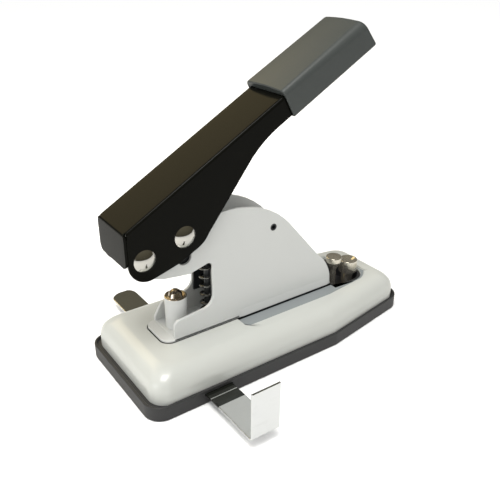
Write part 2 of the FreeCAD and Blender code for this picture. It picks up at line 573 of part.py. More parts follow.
grip = new_body("grip")
far_end = S.grip_start + S.grip_length
grip_side = sketch(grip, "grip_side", "XZ_Plane", [
    along(S.grip_start, S.lever_skin + 0.1 - S.grip_drop), along(far_end, 5.9),
    along(far_end + 3.4, 8.6) + (4.0,), along(far_end + 3.0, S.lever_skin - 2.0) + (30.0,),
    along(far_end - 3.0, S.lever_skin + S.grip_rise - 0.3) + (8.0,),
    along(S.grip_start, S.lever_skin + S.grip_rise)])
pad(grip, "grip_block", grip_side, (S.lever_half + S.grip_wall) * 2.0, middle=True)
side_y = SIZES["lever_half"] + SIZES["grip_wall"]
fillet(grip, "grip_top_round", 5.2, lambda m, e: abs(abs(m.y) - side_y) < 1e-3 and e.Length > 50.0
       and (m.z - SIZES["fulcrum_z"]) * UX - (m.x + SIZES["fulcrum_x"]) * UZ > 15.0)
grip_hole = new_body("grip_hole")
grip_bore = sketch(grip_hole, "grip_bore", "XZ_Plane", [
    along(S.grip_start - 2.0, 6.95), along(S.lever_length + 0.2, 6.95),
    along(S.lever_length + 0.2, S.lever_skin + 0.05), along(S.grip_start - 2.0, S.lever_skin + 0.05)])
pad(grip_hole, "grip_bore_block", grip_bore, (S.lever_half + 0.05) * 2.0, middle=True)
export(cut("grip_cut", grip, [grip_hole]), "handle_grip")


def domed_pin(name, x, z):
    """Headed pin: shank right across with a spherical cap inside the near cheek's face."""
    half = S.lever_half
    shank = rod(name + "_shank", S.pin_radius, half * 2.0 + 1.4, x, -half, z, "y")
    return join(name, [shank, dome(name + "_dome", x, z, -1)])


def dome(name, x, z, side):
    """Shallow spherical cap seated on one cheek of the lever."""
    rise, reach = SIZES["dome_height"], SIZES["dome_radius"]
    sphere = doc.addObject("Part::Sphere", name + "_ball")
    bind(sphere, "Radius", (reach * reach + rise * rise) / (2.0 * rise))
    drop = (reach * reach + rise * rise) / (2.0 * rise) - rise
    place(sphere, x, (S.lever_half - drop) * side, z)
    start = S.lever_half if side > 0 else -S.lever_half - 6.0
    slab = rod(name + "_slab", S.dome_radius + 2.0, 6.0, x, start, z, "y")
    item = doc.addObject("Part::Common", name)
    item.Base = sphere
    item.Tool = slab
    return item


for label, x, z in (("fulcrum_pin", P1X, P1Z), ("ram_pin", -S.ram_pin_x, S.ram_pin_z)):
    export(domed_pin(label + "_whole", x, z), label)
    socket = rod(label + "_socket", S.pin_radius, 1.45, x, S.lever_half - 0.01, z, "y")
    export(cut(label + "_cap_cut", dome(label + "_far", x, z, 1), [socket]), label + "_cap")
washers = []
for name, y in (("near", -S.frame_half - 1.25), ("far", S.frame_half + 0.25)):
    disc = rod("washer_disc_" + name, 6.4, 1.0, P1X, y, P1Z, "y")
    washers.append(cut("washer_" + name, disc, [rod("washer_hole_" + name, S.pin_radius + 0.05, 60.0,
                                                    P1X, -30.0, P1Z, "y")]))
export(group("washer_set", washers), "pivot_washers")

# ---- side guide: one folded strip through the base, with its blocks and leaf -----------------
strip = box("guide_strip", -S.guide_left, S.guide_right, -S.guide_near, S.guide_far - 6.0,
            S.guide_low, S.guide_low + S.guide_sheet)
tip = new_body("guide_tip")
tip_plan = sketch(tip, "guide_tip_plan", "XY_Plane", [
    (-S.guide_left, S.guide_far - 7.0), (S.guide_right, S.guide_far - 7.0),
    (S.guide_right, S.guide_far - 2.6), (S.guide_right - 3.4, S.guide_far, 3.6),
    (-S.guide_left + 6.0, S.guide_far - 0.4, 30.0), (-S.guide_left, S.guide_far - 3.4, 9.0)],
    S.guide_low)
pad(tip, "guide_tip_plate", tip_plan, S.guide_sheet)
stop_plate = box("guide_upright", -S.guide_left, S.guide_right, -S.guide_near,
                 -S.guide_near + S.guide_sheet, S.guide_low, S.guide_height)
export(join("guide_whole", [strip, tip, stop_plate]), "side_guide")
blocks = []
for name, y0 in (("near", -29.0), ("far", 17.0)):
    block = box("guide_block_" + name, -12.0, 16.0, y0, y0 + 12.0, riser_low + 0.05, 10.0)
    blocks.append(cut("guide_block_cut_" + name, block, [
        box("guide_block_way_" + name, -S.guide_left - 0.35, S.guide_right + 0.35, y0 - 1.0,
            y0 + 13.0, 4.0, S.guide_low + S.guide_sheet + 0.35)]))
export(group("guide_block_set", blocks), "guide_blocks")
leaf = box("leaf_plate", -4.0, 8.0, -28.0, -14.0, 10.05, 10.55)
export(leaf, "friction_leaf")

# ---- tool well behind the frame, with a spare punch and a spare die --------------------------
well = new_body("well")
well_outline = sketch(well, "well_outline", "XY_Plane", [
    (S.well_front + 0.4, -S.well_half + 3.4), (S.well_front + 3.4, -S.well_half + 0.4, 3.0),
    (S.well_rear - 12.0, -S.well_half + 0.4), (S.well_rear - 0.4, -S.well_half + 12.0, 11.6),
    (S.well_rear - 0.4, S.well_half - 12.0), (S.well_rear - 12.0, S.well_half - 0.4, 11.6),
    (S.well_front + 3.4, S.well_half - 0.4), (S.well_front + 0.4, S.well_half - 3.4, 3.0)],
    S.tray_floor + 0.1)
pad(well, "well_block_solid", well_outline, S.cover_top - S.recess_depth - S.tray_floor - 0.5)
well_cavity = sketch(well, "well_cavity", "XY_Plane", [
    (S.well_front + 1.9, -S.well_half + 3.4), (S.well_front + 3.4, -S.well_half + 1.9, 1.5),
    (S.well_rear - 12.0, -S.well_half + 1.9), (S.well_rear - 1.9, -S.well_half + 12.0, 10.1),
    (S.well_rear - 1.9, S.well_half - 12.0), (S.well_rear - 12.0, S.well_half - 1.9, 10.1),
    (S.well_front + 3.4, S.well_half - 1.9), (S.well_front + 1.9, S.well_half - 3.4, 1.5)], 12.0)
pocket(well, "well_hollow", well_cavity, 20.0, back=True)
SPARE_PUNCH = (112.6, -5.0)
SPARE_DIE = (126.2, -4.6)
well_ways = [rod("spare_punch_way", 3.4, 12.0, SPARE_PUNCH[0], SPARE_PUNCH[1], 5.0),
             rod("spare_die_way", 3.4, 12.0, SPARE_DIE[0], SPARE_DIE[1], 5.0)]
export(cut("well_cut", well, well_ways), "tool_well")
PX, PY = SPARE_PUNCH
export(join("spare_punch_whole", [
    rod("spare_punch_shank", 3.1, 10.0, PX, PY, 5.3), rod("spare_punch_stem", 2.0, 15.0, PX, PY, 15.0),
    cone("spare_punch_flare", 2.0, 5.1, 6.0, PX, PY, 29.0),
    rod("spare_punch_cap", 5.2, 3.2, PX, PY, 34.8)]), "spare_punch")
DX, DY = SPARE_DIE
spare_die = join("spare_die_whole", [
    rod("spare_die_shank", 3.1, 12.0, DX, DY, 5.3), rod("spare_die_neck", 4.0, 7.0, DX, DY, 16.6),
    rod("spare_die_head", 5.9, 8.6, DX, DY, 23.4)])
export(cut("spare_die_cut", spare_die, [cone("spare_die_dish", 2.6, 4.9, 1.4, DX, DY, 30.7)]),
       "spare_die")

doc.recompute()
failed = []
for item in doc.Objects:
    if "Invalid" in item.State or "Error" in item.State:
        failed.append(item.Name)
for item, label in EXPORTS:
    shape = item.Shape
    if shape.isNull() or not shape.isValid():
        failed.append(label)
if failed:
    raise RuntimeError("not built: " + ", ".join(failed))
for item, label in EXPORTS:
    item.Shape.exportStep("parts/%s.step" % label)
    bb = item.Shape.BoundBox
    print("%-18s solids %d  vol %9.1f  x %.1f..%.1f y %.1f..%.1f z %.1f..%.1f" % (
        label, len(item.Shape.Solids), item.Shape.Volume, bb.XMin, bb.XMax, bb.YMin, bb.YMax,
        bb.ZMin, bb.ZMax))
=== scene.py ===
import math
import bmesh
import bpy
import numpy as np
from mathutils import Matrix, Vector
from mathutils.geometry import delaunay_2d_cdt


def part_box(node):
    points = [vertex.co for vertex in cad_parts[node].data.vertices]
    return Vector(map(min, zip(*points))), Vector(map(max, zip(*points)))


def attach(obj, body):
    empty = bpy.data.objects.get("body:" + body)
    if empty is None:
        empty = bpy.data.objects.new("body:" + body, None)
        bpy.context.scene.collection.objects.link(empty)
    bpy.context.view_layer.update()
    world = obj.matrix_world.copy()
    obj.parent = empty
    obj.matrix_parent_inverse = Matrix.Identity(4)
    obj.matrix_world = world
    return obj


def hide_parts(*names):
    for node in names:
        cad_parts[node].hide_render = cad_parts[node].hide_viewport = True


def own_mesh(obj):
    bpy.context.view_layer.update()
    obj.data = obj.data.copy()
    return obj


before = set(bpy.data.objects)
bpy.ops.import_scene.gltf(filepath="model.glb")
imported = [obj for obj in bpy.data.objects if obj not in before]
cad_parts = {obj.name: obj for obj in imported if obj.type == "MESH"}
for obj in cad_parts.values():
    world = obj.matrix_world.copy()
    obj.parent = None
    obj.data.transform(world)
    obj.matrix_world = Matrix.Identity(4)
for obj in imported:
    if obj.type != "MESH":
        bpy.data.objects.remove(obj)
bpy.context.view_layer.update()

# ---- studio -------------------------------------------------------------------------------
# A pale table in a pale room that gloss sees as dark, one large overhead softbox, a warm one
# behind for the gloss on the lever, and a camera a little above the open end of the press.
YAW, PITCH, ROLL = math.radians(-35.57874), math.radians(26.68365), math.radians(0.36547)
EYE = (-0.13568393, -0.25956964, 0.21860203)
back = Vector((math.sin(YAW) * math.cos(PITCH), -math.cos(YAW) * math.cos(PITCH), math.sin(PITCH)))
right = Vector((0, 0, 1)).cross(back).normalized()
up = back.cross(right)
right, up = (right * math.cos(ROLL) + up * math.sin(ROLL),
             up * math.cos(ROLL) - right * math.sin(ROLL))
camera_data = bpy.data.cameras.new("camera")
camera_data.lens, camera_data.sensor_width = 44.375, 36.0
camera_data.clip_start, camera_data.clip_end = 0.01, 20.0
camera = bpy.data.objects.new("camera", camera_data)
camera.matrix_world = Matrix.Translation(EYE) @ Matrix((right, up, back)).transposed().to_4x4()
bpy.context.scene.collection.objects.link(camera)
bpy.context.scene.camera = camera
bpy.context.scene.view_settings.view_transform = "Standard"


def softbox(name, place, aim, size, power, colour, depth=None):
    """Square or oblong area light at a place, turned to face a point."""
    lamp = bpy.data.lights.new(name, "AREA")
    lamp.shape, lamp.size, lamp.size_y = "RECTANGLE", size, depth or size
    lamp.energy, lamp.color = power, colour
    holder = bpy.data.objects.new(name, lamp)
    holder.location = place
    holder.rotation_mode = "QUATERNION"
    holder.rotation_quaternion = (Vector(aim) - Vector(place)).to_track_quat("-Z", "Y")
    bpy.context.scene.collection.objects.link(holder)


CENTRE = (0.05, 0.0, 0.05)
softbox("overhead", (-0.22, -0.2, 1.1), CENTRE, 0.45, 8.0, (1.0, 0.99, 0.955))
softbox("warm_back", (-0.08, 0.95, 0.85), CENTRE, 0.8, 3.0, (1.0, 0.8, 0.42), 0.7)
softbox("throat_fill", (-0.3, -0.03, 0.1), (0.015, 0.0, 0.035), 0.08, 0.14, (0.97, 0.99, 1.0))
softbox("front_left", (-0.9, -0.35, 0.4), CENTRE, 0.6, 0.9, (1.0, 0.99, 0.97))
ROOM_SEEN, ROOM_IN_GLOSS = (0.97, 0.97, 0.965, 1), (0.11, 0.1, 0.07, 1)
ROOM_LOW, ROOM_HIGH = 0.6, 1.25
TABLE_LIT, TABLE_SEEN, TABLE_REACH = (0.66, 0.66, 0.65, 1), (0.97, 0.97, 0.97, 1), 6
world = bpy.data.worlds.new("room")
world.use_nodes = True
bpy.context.scene.world = world
room = world.node_tree
room_back = room.nodes["Background"]
ray = room.nodes.new("ShaderNodeLightPath")
seen = room.nodes.new("ShaderNodeMix")
seen.data_type = "RGBA"
seen.inputs[6].default_value = ROOM_SEEN
seen.inputs[7].default_value = ROOM_IN_GLOSS
room.links.new(ray.outputs["Is Glossy Ray"], seen.inputs["Factor"])
room.links.new(seen.outputs[2], room_back.inputs["Color"])
way = room.nodes.new("ShaderNodeTexCoord")
split = room.nodes.new("ShaderNodeSeparateXYZ")
rising = room.nodes.new("ShaderNodeMapRange")
rising.inputs["To Min"].default_value, rising.inputs["To Max"].default_value = ROOM_LOW, ROOM_HIGH
room.links.new(way.outputs["Generated"], split.inputs[0])
room.links.new(split.outputs["Z"], rising.inputs["Value"])
room.links.new(rising.outputs[0], room_back.inputs["Strength"])
table_mesh = bpy.data.meshes.new("table")
table_corners = [(TABLE_REACH * u, TABLE_REACH * v, 0) for u, v in ((-1, -1), (1, -1), (1, 1), (-1, 1))]
table_mesh.from_pydata(table_corners, [], [(0, 1, 2, 3)])
table_top = bpy.data.objects.new("table", table_mesh)
bpy.context.scene.collection.objects.link(table_top)
table_finish = bpy.data.materials.new("pale_table")
table_finish.use_nodes = True
table_shader = table_finish.node_tree.nodes["Principled BSDF"]
path = table_finish.node_tree.nodes.new("ShaderNodeLightPath")
tone = table_finish.node_tree.nodes.new("ShaderNodeMix")
tone.data_type = "RGBA"
tone.inputs[6].default_value, tone.inputs[7].default_value = TABLE_LIT, TABLE_SEEN
table_finish.node_tree.links.new(path.outputs["Is Camera Ray"], tone.inputs["Factor"])
table_finish.node_tree.links.new(tone.outputs[2], table_shader.inputs["Base Color"])
table_shader.inputs["Roughness"].default_value = 0.9
table_shader.inputs["Specular IOR Level"].default_value = 0.0
table_mesh.materials.append(table_finish)

# ---- bottom tray ----------------------------------------------------------------------------
# The shallow tray the press stands on, moulded in black plastic with a fine satin grain. It
# has a rabbet round the rim for the cover and a slot through each side for the guide strip.
MM = 0.001


def outline(corners, inset=0.0, least=1e-3):
    """Points round a polygon, counter-clockwise, every side moved inward by inset. A corner is
    (u, v, radius, steps): an arc touching both sides, its radius less the inset where the
    corner points outward and more where it points inward. No steps leaves one point."""
    table = np.array(corners, float)
    p, radius, steps = table[:, :2], table[:, 2], table[:, 3].astype(int)
    ahead = np.roll(p, -1, 0) - p
    ahead /= np.maximum(np.linalg.norm(ahead, axis=1, keepdims=True), 1e-9)
    behind = np.roll(ahead, 1, 0)
    left = np.stack([-ahead[:, 1], ahead[:, 0]], 1)
    left_behind = np.roll(left, 1, 0)
    turn = np.arctan2(behind[:, 0] * ahead[:, 1] - behind[:, 1] * ahead[:, 0],
                      (behind * ahead).sum(1))
    q = p + inset * (left + left_behind) / np.maximum(1 + (left * left_behind).sum(1), 0.1)[:, None]
    r = np.maximum(radius - inset * np.sign(turn), least)
    start = q - behind * (r * np.tan(np.abs(turn) / 2))[:, None]
    centre = start + left_behind * (r * np.sign(turn))[:, None]
    spans = []
    for k, count in enumerate(steps):
        if count == 0:
            spans.append(q[k:k + 1])
            continue
        first = math.atan2(start[k, 1] - centre[k, 1], start[k, 0] - centre[k, 0])
        angle = first + turn[k] * np.linspace(0, 1, count + 1)
        spans.append(centre[k] + r[k] * np.stack([np.cos(angle), np.sin(angle)], 1))
    return np.concatenate(spans)


def level(points, z):
    """Flat outline lifted to one height."""
    return np.column_stack([points, np.full(len(points), float(z))])


def shell(rings, ends=(True, True), keep=None):
    """Surface through closed rings of equal count: quads join each point to the next in its
    ring and to the same point of the next ring, and a flat face closes each end."""
    rings = np.asarray(rings, float)
    rows, count = rings.shape[:2]
    index = np.arange(rows * count).reshape(rows, count)
    low, high = index[:-1], index[1:]
    quads = np.stack([low, np.roll(low, -1, 1), np.roll(high, -1, 1), high], -1)
    faces = [quads[keep] if keep is not None else quads.reshape(-1, 4)]
    if ends[0]:
        faces.append(index[0][None, ::-1])
    if ends[1]:
        faces.append(index[-1][None])
    return rings.reshape(-1, 3), faces


def piece(name, shells, body, nodes=(), finish=None, crease=38.0, closed=True):
    """One mesh object from shells in millimetres, doubles merged, faces outward, smooth where
    faces meet at less than the crease angle. It rides on its body and stands for CAD nodes."""
    points, faces, base = [], [], 0
    for p, groups in shells:
        points.append(p)
        faces += sum([(np.asarray(g) + base).tolist() for g in groups], [])
        base += len(p)
    mesh = bpy.data.meshes.new(name)
    mesh.from_pydata((np.concatenate(points) * MM).tolist(), [], faces)
    draft = bmesh.new()
    draft.from_mesh(mesh)
    bmesh.ops.remove_doubles(draft, verts=draft.verts, dist=2e-6)
    if closed:
        bmesh.ops.recalc_face_normals(draft, faces=draft.faces)
    draft.to_mesh(mesh)
    draft.free()
    mesh.shade_smooth()
    mesh.set_sharp_from_angle(angle=math.radians(crease))
    obj = bpy.data.objects.new(name, mesh)
    bpy.context.scene.collection.objects.link(obj)
    if finish is not None:
        mesh.materials.append(finish)
    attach(obj, body)
    if nodes:
        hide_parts(*nodes)
    return obj


def face_weighted(obj):
    """Normals led by the large flat faces, so rounded edges don't tint them."""
    weigh = obj.modifiers.new("face_weighted", "WEIGHTED_NORMAL")
    weigh.keep_sharp = True
    weigh.weight = 80
    return obj


def shader_group(name, inputs, outputs):
    """Empty node group with float inputs at their defaults, and the named outputs."""
    group = bpy.data.node_groups.new(name, "ShaderNodeTree")
    group.interface.new_socket("Position", in_out="INPUT", socket_type="NodeSocketVector")
    for label, value in inputs:
        socket = group.interface.new_socket(label, in_out="INPUT", socket_type="NodeSocketFloat")
        socket.default_value = value
    for label in outputs:
        group.interface.new_socket(label, in_out="OUTPUT", socket_type="NodeSocketFloat")
    return group, group.nodes.new("NodeGroupInput"), group.nodes.new("NodeGroupOutput")


def node(tree, kind, values=(), links=()):
    """Node with settings, given input values and incoming links."""
    made = tree.nodes.new(kind)
    for key, value in values:
        if isinstance(key, str) and hasattr(made, key) and key not in made.inputs:
            setattr(made, key, value)
        else:
            made.inputs[key].default_value = value
    for key, source in links:
        tree.links.new(source, made.inputs[key])
    return made


grain, grain_in, grain_out = shader_group(
    "surface_grain", (("Size", 900.0), ("Patch Size", 45.0), ("Tone", 0.04), ("Gloss", 0.06)),
    ("Height", "Tone", "Gloss"))
fine = node(grain, "ShaderNodeTexNoise", (("Detail", 3.0), ("Roughness", 0.55)),
            (("Vector", grain_in.outputs["Position"]), ("Scale", grain_in.outputs["Size"])))
patch = node(grain, "ShaderNodeTexNoise", (("Detail", 4.0), ("Roughness", 0.6)),
             (("Vector", grain_in.outputs["Position"]), ("Scale", grain_in.outputs["Patch Size"])))
centred = node(grain, "ShaderNodeMath", (("operation", "SUBTRACT"), (1, 0.5)),
               ((0, patch.outputs["Fac"]),))
tone_part = node(grain, "ShaderNodeMath", (("operation", "MULTIPLY"),),
                 ((0, centred.outputs[0]), (1, grain_in.outputs["Tone"])))
gloss_part = node(grain, "ShaderNodeMath", (("operation", "MULTIPLY"),),
                  ((0, centred.outputs[0]), (1, grain_in.outputs["Gloss"])))
grain.links.new(fine.outputs["Fac"], grain_out.inputs["Height"])
grain.links.new(tone_part.outputs[0], grain_out.inputs["Tone"])
grain.links.new(gloss_part.outputs[0], grain_out.inputs["Gloss"])

# Streaky marks: handling wear on most finishes, painted reflection streaks on the die's steel.
marks, marks_in, marks_out = shader_group(
    "handling_marks_and_painted_streaks", (("Size", 120.0), ("Amount", 0.5)), ("Mask",))
stretch = node(marks, "ShaderNodeMapping", (("Scale", (1.0, 6.0, 2.5)), ("Rotation", (0.4, 0.2, 0.7))),
               (("Vector", marks_in.outputs["Position"]),))
scratch = node(marks, "ShaderNodeTexNoise", (("Detail", 6.0), ("Roughness", 0.7)),
               (("Vector", stretch.outputs[0]), ("Scale", marks_in.outputs["Size"])))
cut = node(marks, "ShaderNodeMapRange", (("From Min", 0.56), ("From Max", 0.72)),
           (("Value", scratch.outputs["Fac"]),))
scaled = node(marks, "ShaderNodeMath", (("operation", "MULTIPLY"),),
              ((0, cut.outputs[0]), (1, marks_in.outputs["Amount"])))
marks.links.new(scaled.outputs[0], marks_out.inputs["Mask"])


def finish(name, colour, rough, metal=0.0, specular=0.5, coat=0.0, coat_rough=0.05,
           grain_size=900.0, patch_size=45.0, tone=0.04, gloss=0.06, bump=0.05,
           mark=0.0, mark_colour=None, mark_size=120.0):
    """Surface finish: a base colour with soft tone patches, grain in the bump, gloss that
    varies a little, and handling marks that lighten or dull it. On the die's steel the patches and
    marks are painted reflections instead."""
    material = bpy.data.materials.new(name)
    material.use_nodes = True
    tree = material.node_tree
    shader = tree.nodes["Principled BSDF"]
    for key, value in (("Metallic", metal), ("Specular IOR Level", specular),
                       ("Coat Weight", coat), ("Coat Roughness", coat_rough)):
        shader.inputs[key].default_value = value
    where = node(tree, "ShaderNodeTexCoord")
    texture = node(tree, "ShaderNodeGroup", (("node_tree", grain),))
    for key, value in (("Size", grain_size), ("Patch Size", patch_size), ("Tone", tone),
                       ("Gloss", gloss)):
        texture.inputs[key].default_value = value
    tree.links.new(where.outputs["Object"], texture.inputs["Position"])
    wear_and_painted_streaks = node(tree, "ShaderNodeGroup", (("node_tree", marks),))
    wear_and_painted_streaks.inputs["Size"].default_value = mark_size
    wear_and_painted_streaks.inputs["Amount"].default_value = mark
    tree.links.new(where.outputs["Object"], wear_and_painted_streaks.inputs["Position"])
    shift = node(tree, "ShaderNodeMath", (("operation", "ADD"), (1, 1.0)),
                 ((0, texture.outputs["Tone"]),))
    base = node(tree, "ShaderNodeVectorMath", (("operation", "SCALE"), (0, colour)),
                (("Scale", shift.outputs[0]),))
    mix = node(tree, "ShaderNodeMix", (("data_type", "RGBA"),))
    tree.links.new(wear_and_painted_streaks.outputs["Mask"], mix.inputs["Factor"])
    tree.links.new(base.outputs[0], mix.inputs[6])
    mix.inputs[7].default_value = (*(mark_colour or colour), 1.0)
    tree.links.new(mix.outputs[2], shader.inputs["Base Color"])
    dulled = node(tree, "ShaderNodeMath", (("operation", "MULTIPLY_ADD"), (1, 0.12)),
                  ((0, wear_and_painted_streaks.outputs["Mask"]), (2, texture.outputs["Gloss"])))
    roughness = node(tree, "ShaderNodeMath", (("operation", "ADD"), (1, rough), ("use_clamp", True)),
                     ((0, dulled.outputs[0]),))
    tree.links.new(roughness.outputs[0], shader.inputs["Roughness"])
    if bump:
        relief = node(tree, "ShaderNodeBump", (("Strength", bump), ("Distance", 0.0002)),
                      (("Height", texture.outputs["Height"]),))
        tree.links.new(relief.outputs[0], shader.inputs["Normal"])
    return material


def dress(material, *names):
    """CAD nodes that keep their own shape take a finish."""
    for name in names:
        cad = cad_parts[name]
        cad.data.materials.clear()
        cad.data.materials.append(material)


HALF, FRONT, STRAIGHT, REAR, REAR_HALF = 40.0, -37.5, 86.0, 153.0, 28.5
SLOT_LEFT, SLOT_RIGHT, SLOT_LOW, SLOT_HIGH = -6.7, 10.8, 4.95, 6.85
base_plan = [(FRONT, -HALF, 10, 12), (SLOT_LEFT, -HALF, 0, 0), (SLOT_RIGHT, -HALF, 0, 0),
             (STRAIGHT, -HALF, 12, 4), (REAR, -REAR_HALF, 11, 12), (REAR, REAR_HALF, 11, 12),
             (STRAIGHT, HALF, 12, 4), (SLOT_RIGHT, HALF, 0, 0), (SLOT_LEFT, HALF, 0, 0),
             (FRONT, HALF, 10, 12)]
tray_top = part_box("bottom_tray")[1].z / MM
quarter = np.linspace(0, math.pi / 2, 5)
tray_profile = [(0.9 * (1 - math.sin(a)), 0.9 * (1 - math.cos(a))) for a in quarter]
tray_profile += [(0, SLOT_LOW), (0, SLOT_HIGH)]
tray_profile += [(0.55 * (1 - math.cos(a)), tray_top - 0.55 * (1 - math.sin(a))) for a in quarter]
tray_profile += [(1.2, tray_top), (1.5, tray_top - 0.25), (1.5, 7.6), (4.0, 7.6), (4.0, SLOT_HIGH),
                 (4.0, SLOT_LOW), (4.0, 2.6), (4.4, 2.2)]
tray_rings = np.array([level(outline(base_plan, inset), z) for inset, z in tray_profile])
slot_columns = [13, 51]
slot_rows = [5, len(tray_profile) - 4]
wall = np.ones((len(tray_profile) - 1, tray_rings.shape[1]), bool)
wall[np.ix_(slot_rows, slot_columns)] = False
tray_shell = shell(tray_rings, keep=wall)
grid = np.arange(tray_rings.shape[0] * tray_rings.shape[1]).reshape(tray_rings.shape[:2])
jambs = []
for column in slot_columns:
    o = grid[slot_rows[0]:slot_rows[0] + 2, column:column + 2]
    n = grid[slot_rows[1]:slot_rows[1] + 2, column:column + 2][::-1]
    jambs += [[o[0, 0], o[0, 1], n[0, 1], n[0, 0]], [o[0, 1], o[1, 1], n[1, 1], n[0, 1]],
              [o[1, 1], o[1, 0], n[1, 0], n[1, 1]], [o[1, 0], o[0, 0], n[0, 0], n[1, 0]]]
tray_shell[1].append(np.array(jambs))
black_plastic = finish("black_plastic", (0.028, 0.028, 0.029), 0.46, specular=0.4, grain_size=2600.0,
                       patch_size=60.0, tone=0.25, gloss=0.12, bump=0.25, mark=0.18,
                       mark_colour=(0.07, 0.07, 0.07))
face_weighted(piece("bottom_tray_shell", [tray_shell], "base", ("bottom_tray",),
                    black_plastic))
rubber = finish("rubber_foot", (0.02, 0.02, 0.02), 0.75, specular=0.3, bump=0.3, tone=0.3)
zinc = finish("zinc_plate", (0.55, 0.54, 0.5), 0.35, metal=1.0, tone=0.3, gloss=0.25, bump=0.08,
              mark=0.3, mark_colour=(0.35, 0.34, 0.32))
dress(rubber, "rubber_feet")
dress(zinc, "tray_screws", "frame_screws")

# ---- top cover ------------------------------------------------------------------------------
# The pressed cover over the tray, painted in a warm pale grey gloss. Its shoulders are well
# rounded; an opening lets the frame and the tool well through, in a recess 1 mm deep whose floor carries
# painted shade.
TOP, FOOT, SHOULDER = 24.4, 7.7, 11.0
OPEN_FRONT, OPEN_SIDE, RECESS_X, RECESS_HALF = -14.7, 12.8, 32.5, 22.2
WELL_X0, WELL_X1, WELL_HALF = 104.3, 133.0, 17.0
FOOT_INSET, WALL_INSET, INNER_TOP, INNER_SIDE, INNER_DROP = 1.7, 3.7, 21.4, 9.0, 8.0
CORNER_LEAST, RECESS_DROP, FLAT_WITHIN = 8.5, 1.0, 0.06
# The three plans have the same corners and steps, so that their points pair up.
COVER_FRONT, COVER_REAR, COVER_REAR_HALF = -35.5, 151.0, 28.85
cover_half = [(COVER_FRONT, -HALF, 11.7, 12), (31.0, -HALF, 0, 0), (32.0, -HALF, 0, 0),
              (36.0, -HALF, 0, 6), (STRAIGHT, -HALF, 12, 4), (112.0, -35.54, 0, 0), (118.0, -34.51, 0, 0),
              (COVER_REAR, -COVER_REAR_HALF, 11.7, 12)]
recess_half_plan = [(OPEN_FRONT, -OPEN_SIDE, 6.5, 12), (RECESS_X - 0.3, -OPEN_SIDE, 0, 0),
                    (RECESS_X, -OPEN_SIDE, 0, 0), (RECESS_X, -RECESS_HALF, 3, 6),
                    (94.6, -RECESS_HALF, 12, 4), (109.0, -20.45, 0, 0), (120.6, -19.0, 0, 0),
                    (135.0, -17.4, 14, 12)]
opening_half = [(OPEN_FRONT, -OPEN_SIDE, 6.5, 12), (RECESS_X - 0.3, -OPEN_SIDE, 0, 0),
                (RECESS_X + 0.45, -OPEN_SIDE, 0, 0), (40.0, -OPEN_SIDE, 0, 6),
                (94.6, -OPEN_SIDE, 0, 4), (WELL_X0, -OPEN_SIDE, 0, 0), (WELL_X0, -WELL_HALF, 0, 0),
                (WELL_X1, -WELL_HALF, 12, 12)]


def both_sides(half):
    """Closed plan from its near half, mirrored across the middle."""
    return half + [(u, -v, r, n) for u, v, r, n in half[::-1]]


def plan_points(half, inset=0.0, least=1e-3):
    """Points of a mirrored plan; a straight corner given steps spreads them along the side."""
    full = both_sides(half)
    straight = [k for k, (u, v, r, n) in enumerate(full) if n and r == 0]
    sharp = [(u, v, r, 0 if k in straight else n) for k, (u, v, r, n) in enumerate(full)]
    points = outline(sharp, inset, least)
    at, rows = 0, []
    for k, (u, v, r, n) in enumerate(full):
        count = 1 if (k in straight or n == 0) else n + 1
        if k in straight:
            ahead = points[(at + 1) % len(points)] - points[at]
            rows.append(points[at] + ahead * np.linspace(0, 0.25, n + 1)[:, None])
        else:
            rows.append(points[at:at + count])
        at += count
    return np.concatenate(rows)


def cover_ring(inset, z):
    """Cover outline moved in by the inset, at one height; its corners stay well rounded."""
    return level(plan_points(cover_half, inset, CORNER_LEAST), z)


rise = np.linspace(0, math.pi / 2, 13)
cover_rings = [cover_ring(FOOT_INSET, FOOT)]
cover_rings += [cover_ring(FOOT_INSET + SHOULDER * (1 - math.cos(a)),
                           TOP - SHOULDER * (1 - math.sin(a))) for a in rise]
opening_top = plan_points(opening_half, -0.4)
columns = len(opening_top)
steps_list = [n + 1 if n else 1 for u, v, r, n in both_sides(recess_half_plan)]
corner_of = np.repeat(np.arange(len(steps_list)), steps_list)
in_recess = (corner_of >= 2) & (corner_of <= len(steps_list) - 3)


def recess_ring(inset, drop):
    """Recess outline; ahead of the recess it lies on the opening's own edge."""
    ring = plan_points(recess_half_plan, inset)
    ring[:, 1] = np.sign(ring[:, 1]) * np.maximum(np.abs(ring[:, 1]), OPEN_SIDE + 0.4)
    plan = np.where(in_recess[:, None], ring, opening_top)
    return np.column_stack([plan, np.where(in_recess, TOP - drop, TOP)])


lip = np.linspace(0, math.pi / 2, 4)
cover_rings += [recess_ring(-0.35, 0.0), recess_ring(-0.1, 0.08), recess_ring(0.05, 0.3),
                recess_ring(0.3, 0.75), recess_ring(0.5, 0.95), recess_ring(0.8, RECESS_DROP)]
lip_top = np.where(in_recess, TOP - RECESS_DROP, TOP)
cover_rings += [np.column_stack([plan_points(opening_half, -0.4 * (1 - math.sin(a))),
                                 lip_top - 0.4 * (1 - math.cos(a))]) for a in lip]
cover_rings += [np.column_stack([plan_points(opening_half, 0.0), np.full(columns, INNER_TOP)])]
cover_rings += [cover_ring(WALL_INSET + INNER_SIDE * (1 - math.cos(a)),
                           INNER_TOP - INNER_DROP * (1 - math.sin(a))) for a in rise[::-2]]
cover_rings += [cover_ring(WALL_INSET, FOOT), cover_ring(FOOT_INSET, FOOT)]
cover_paint = finish("cover_paint", (0.485, 0.495, 0.465), 0.3, specular=0.5, coat=0.35,
                     coat_rough=0.12, grain_size=1500.0, patch_size=16.0, tone=0.05, gloss=0.06,
                     bump=0.035, mark=0.06, mark_colour=(0.47, 0.46, 0.4))
cover = face_weighted(piece("top_cover_shell", [shell(cover_rings, (False, False))], "base",
                            ("top_cover",), cover_paint, crease=32.0))
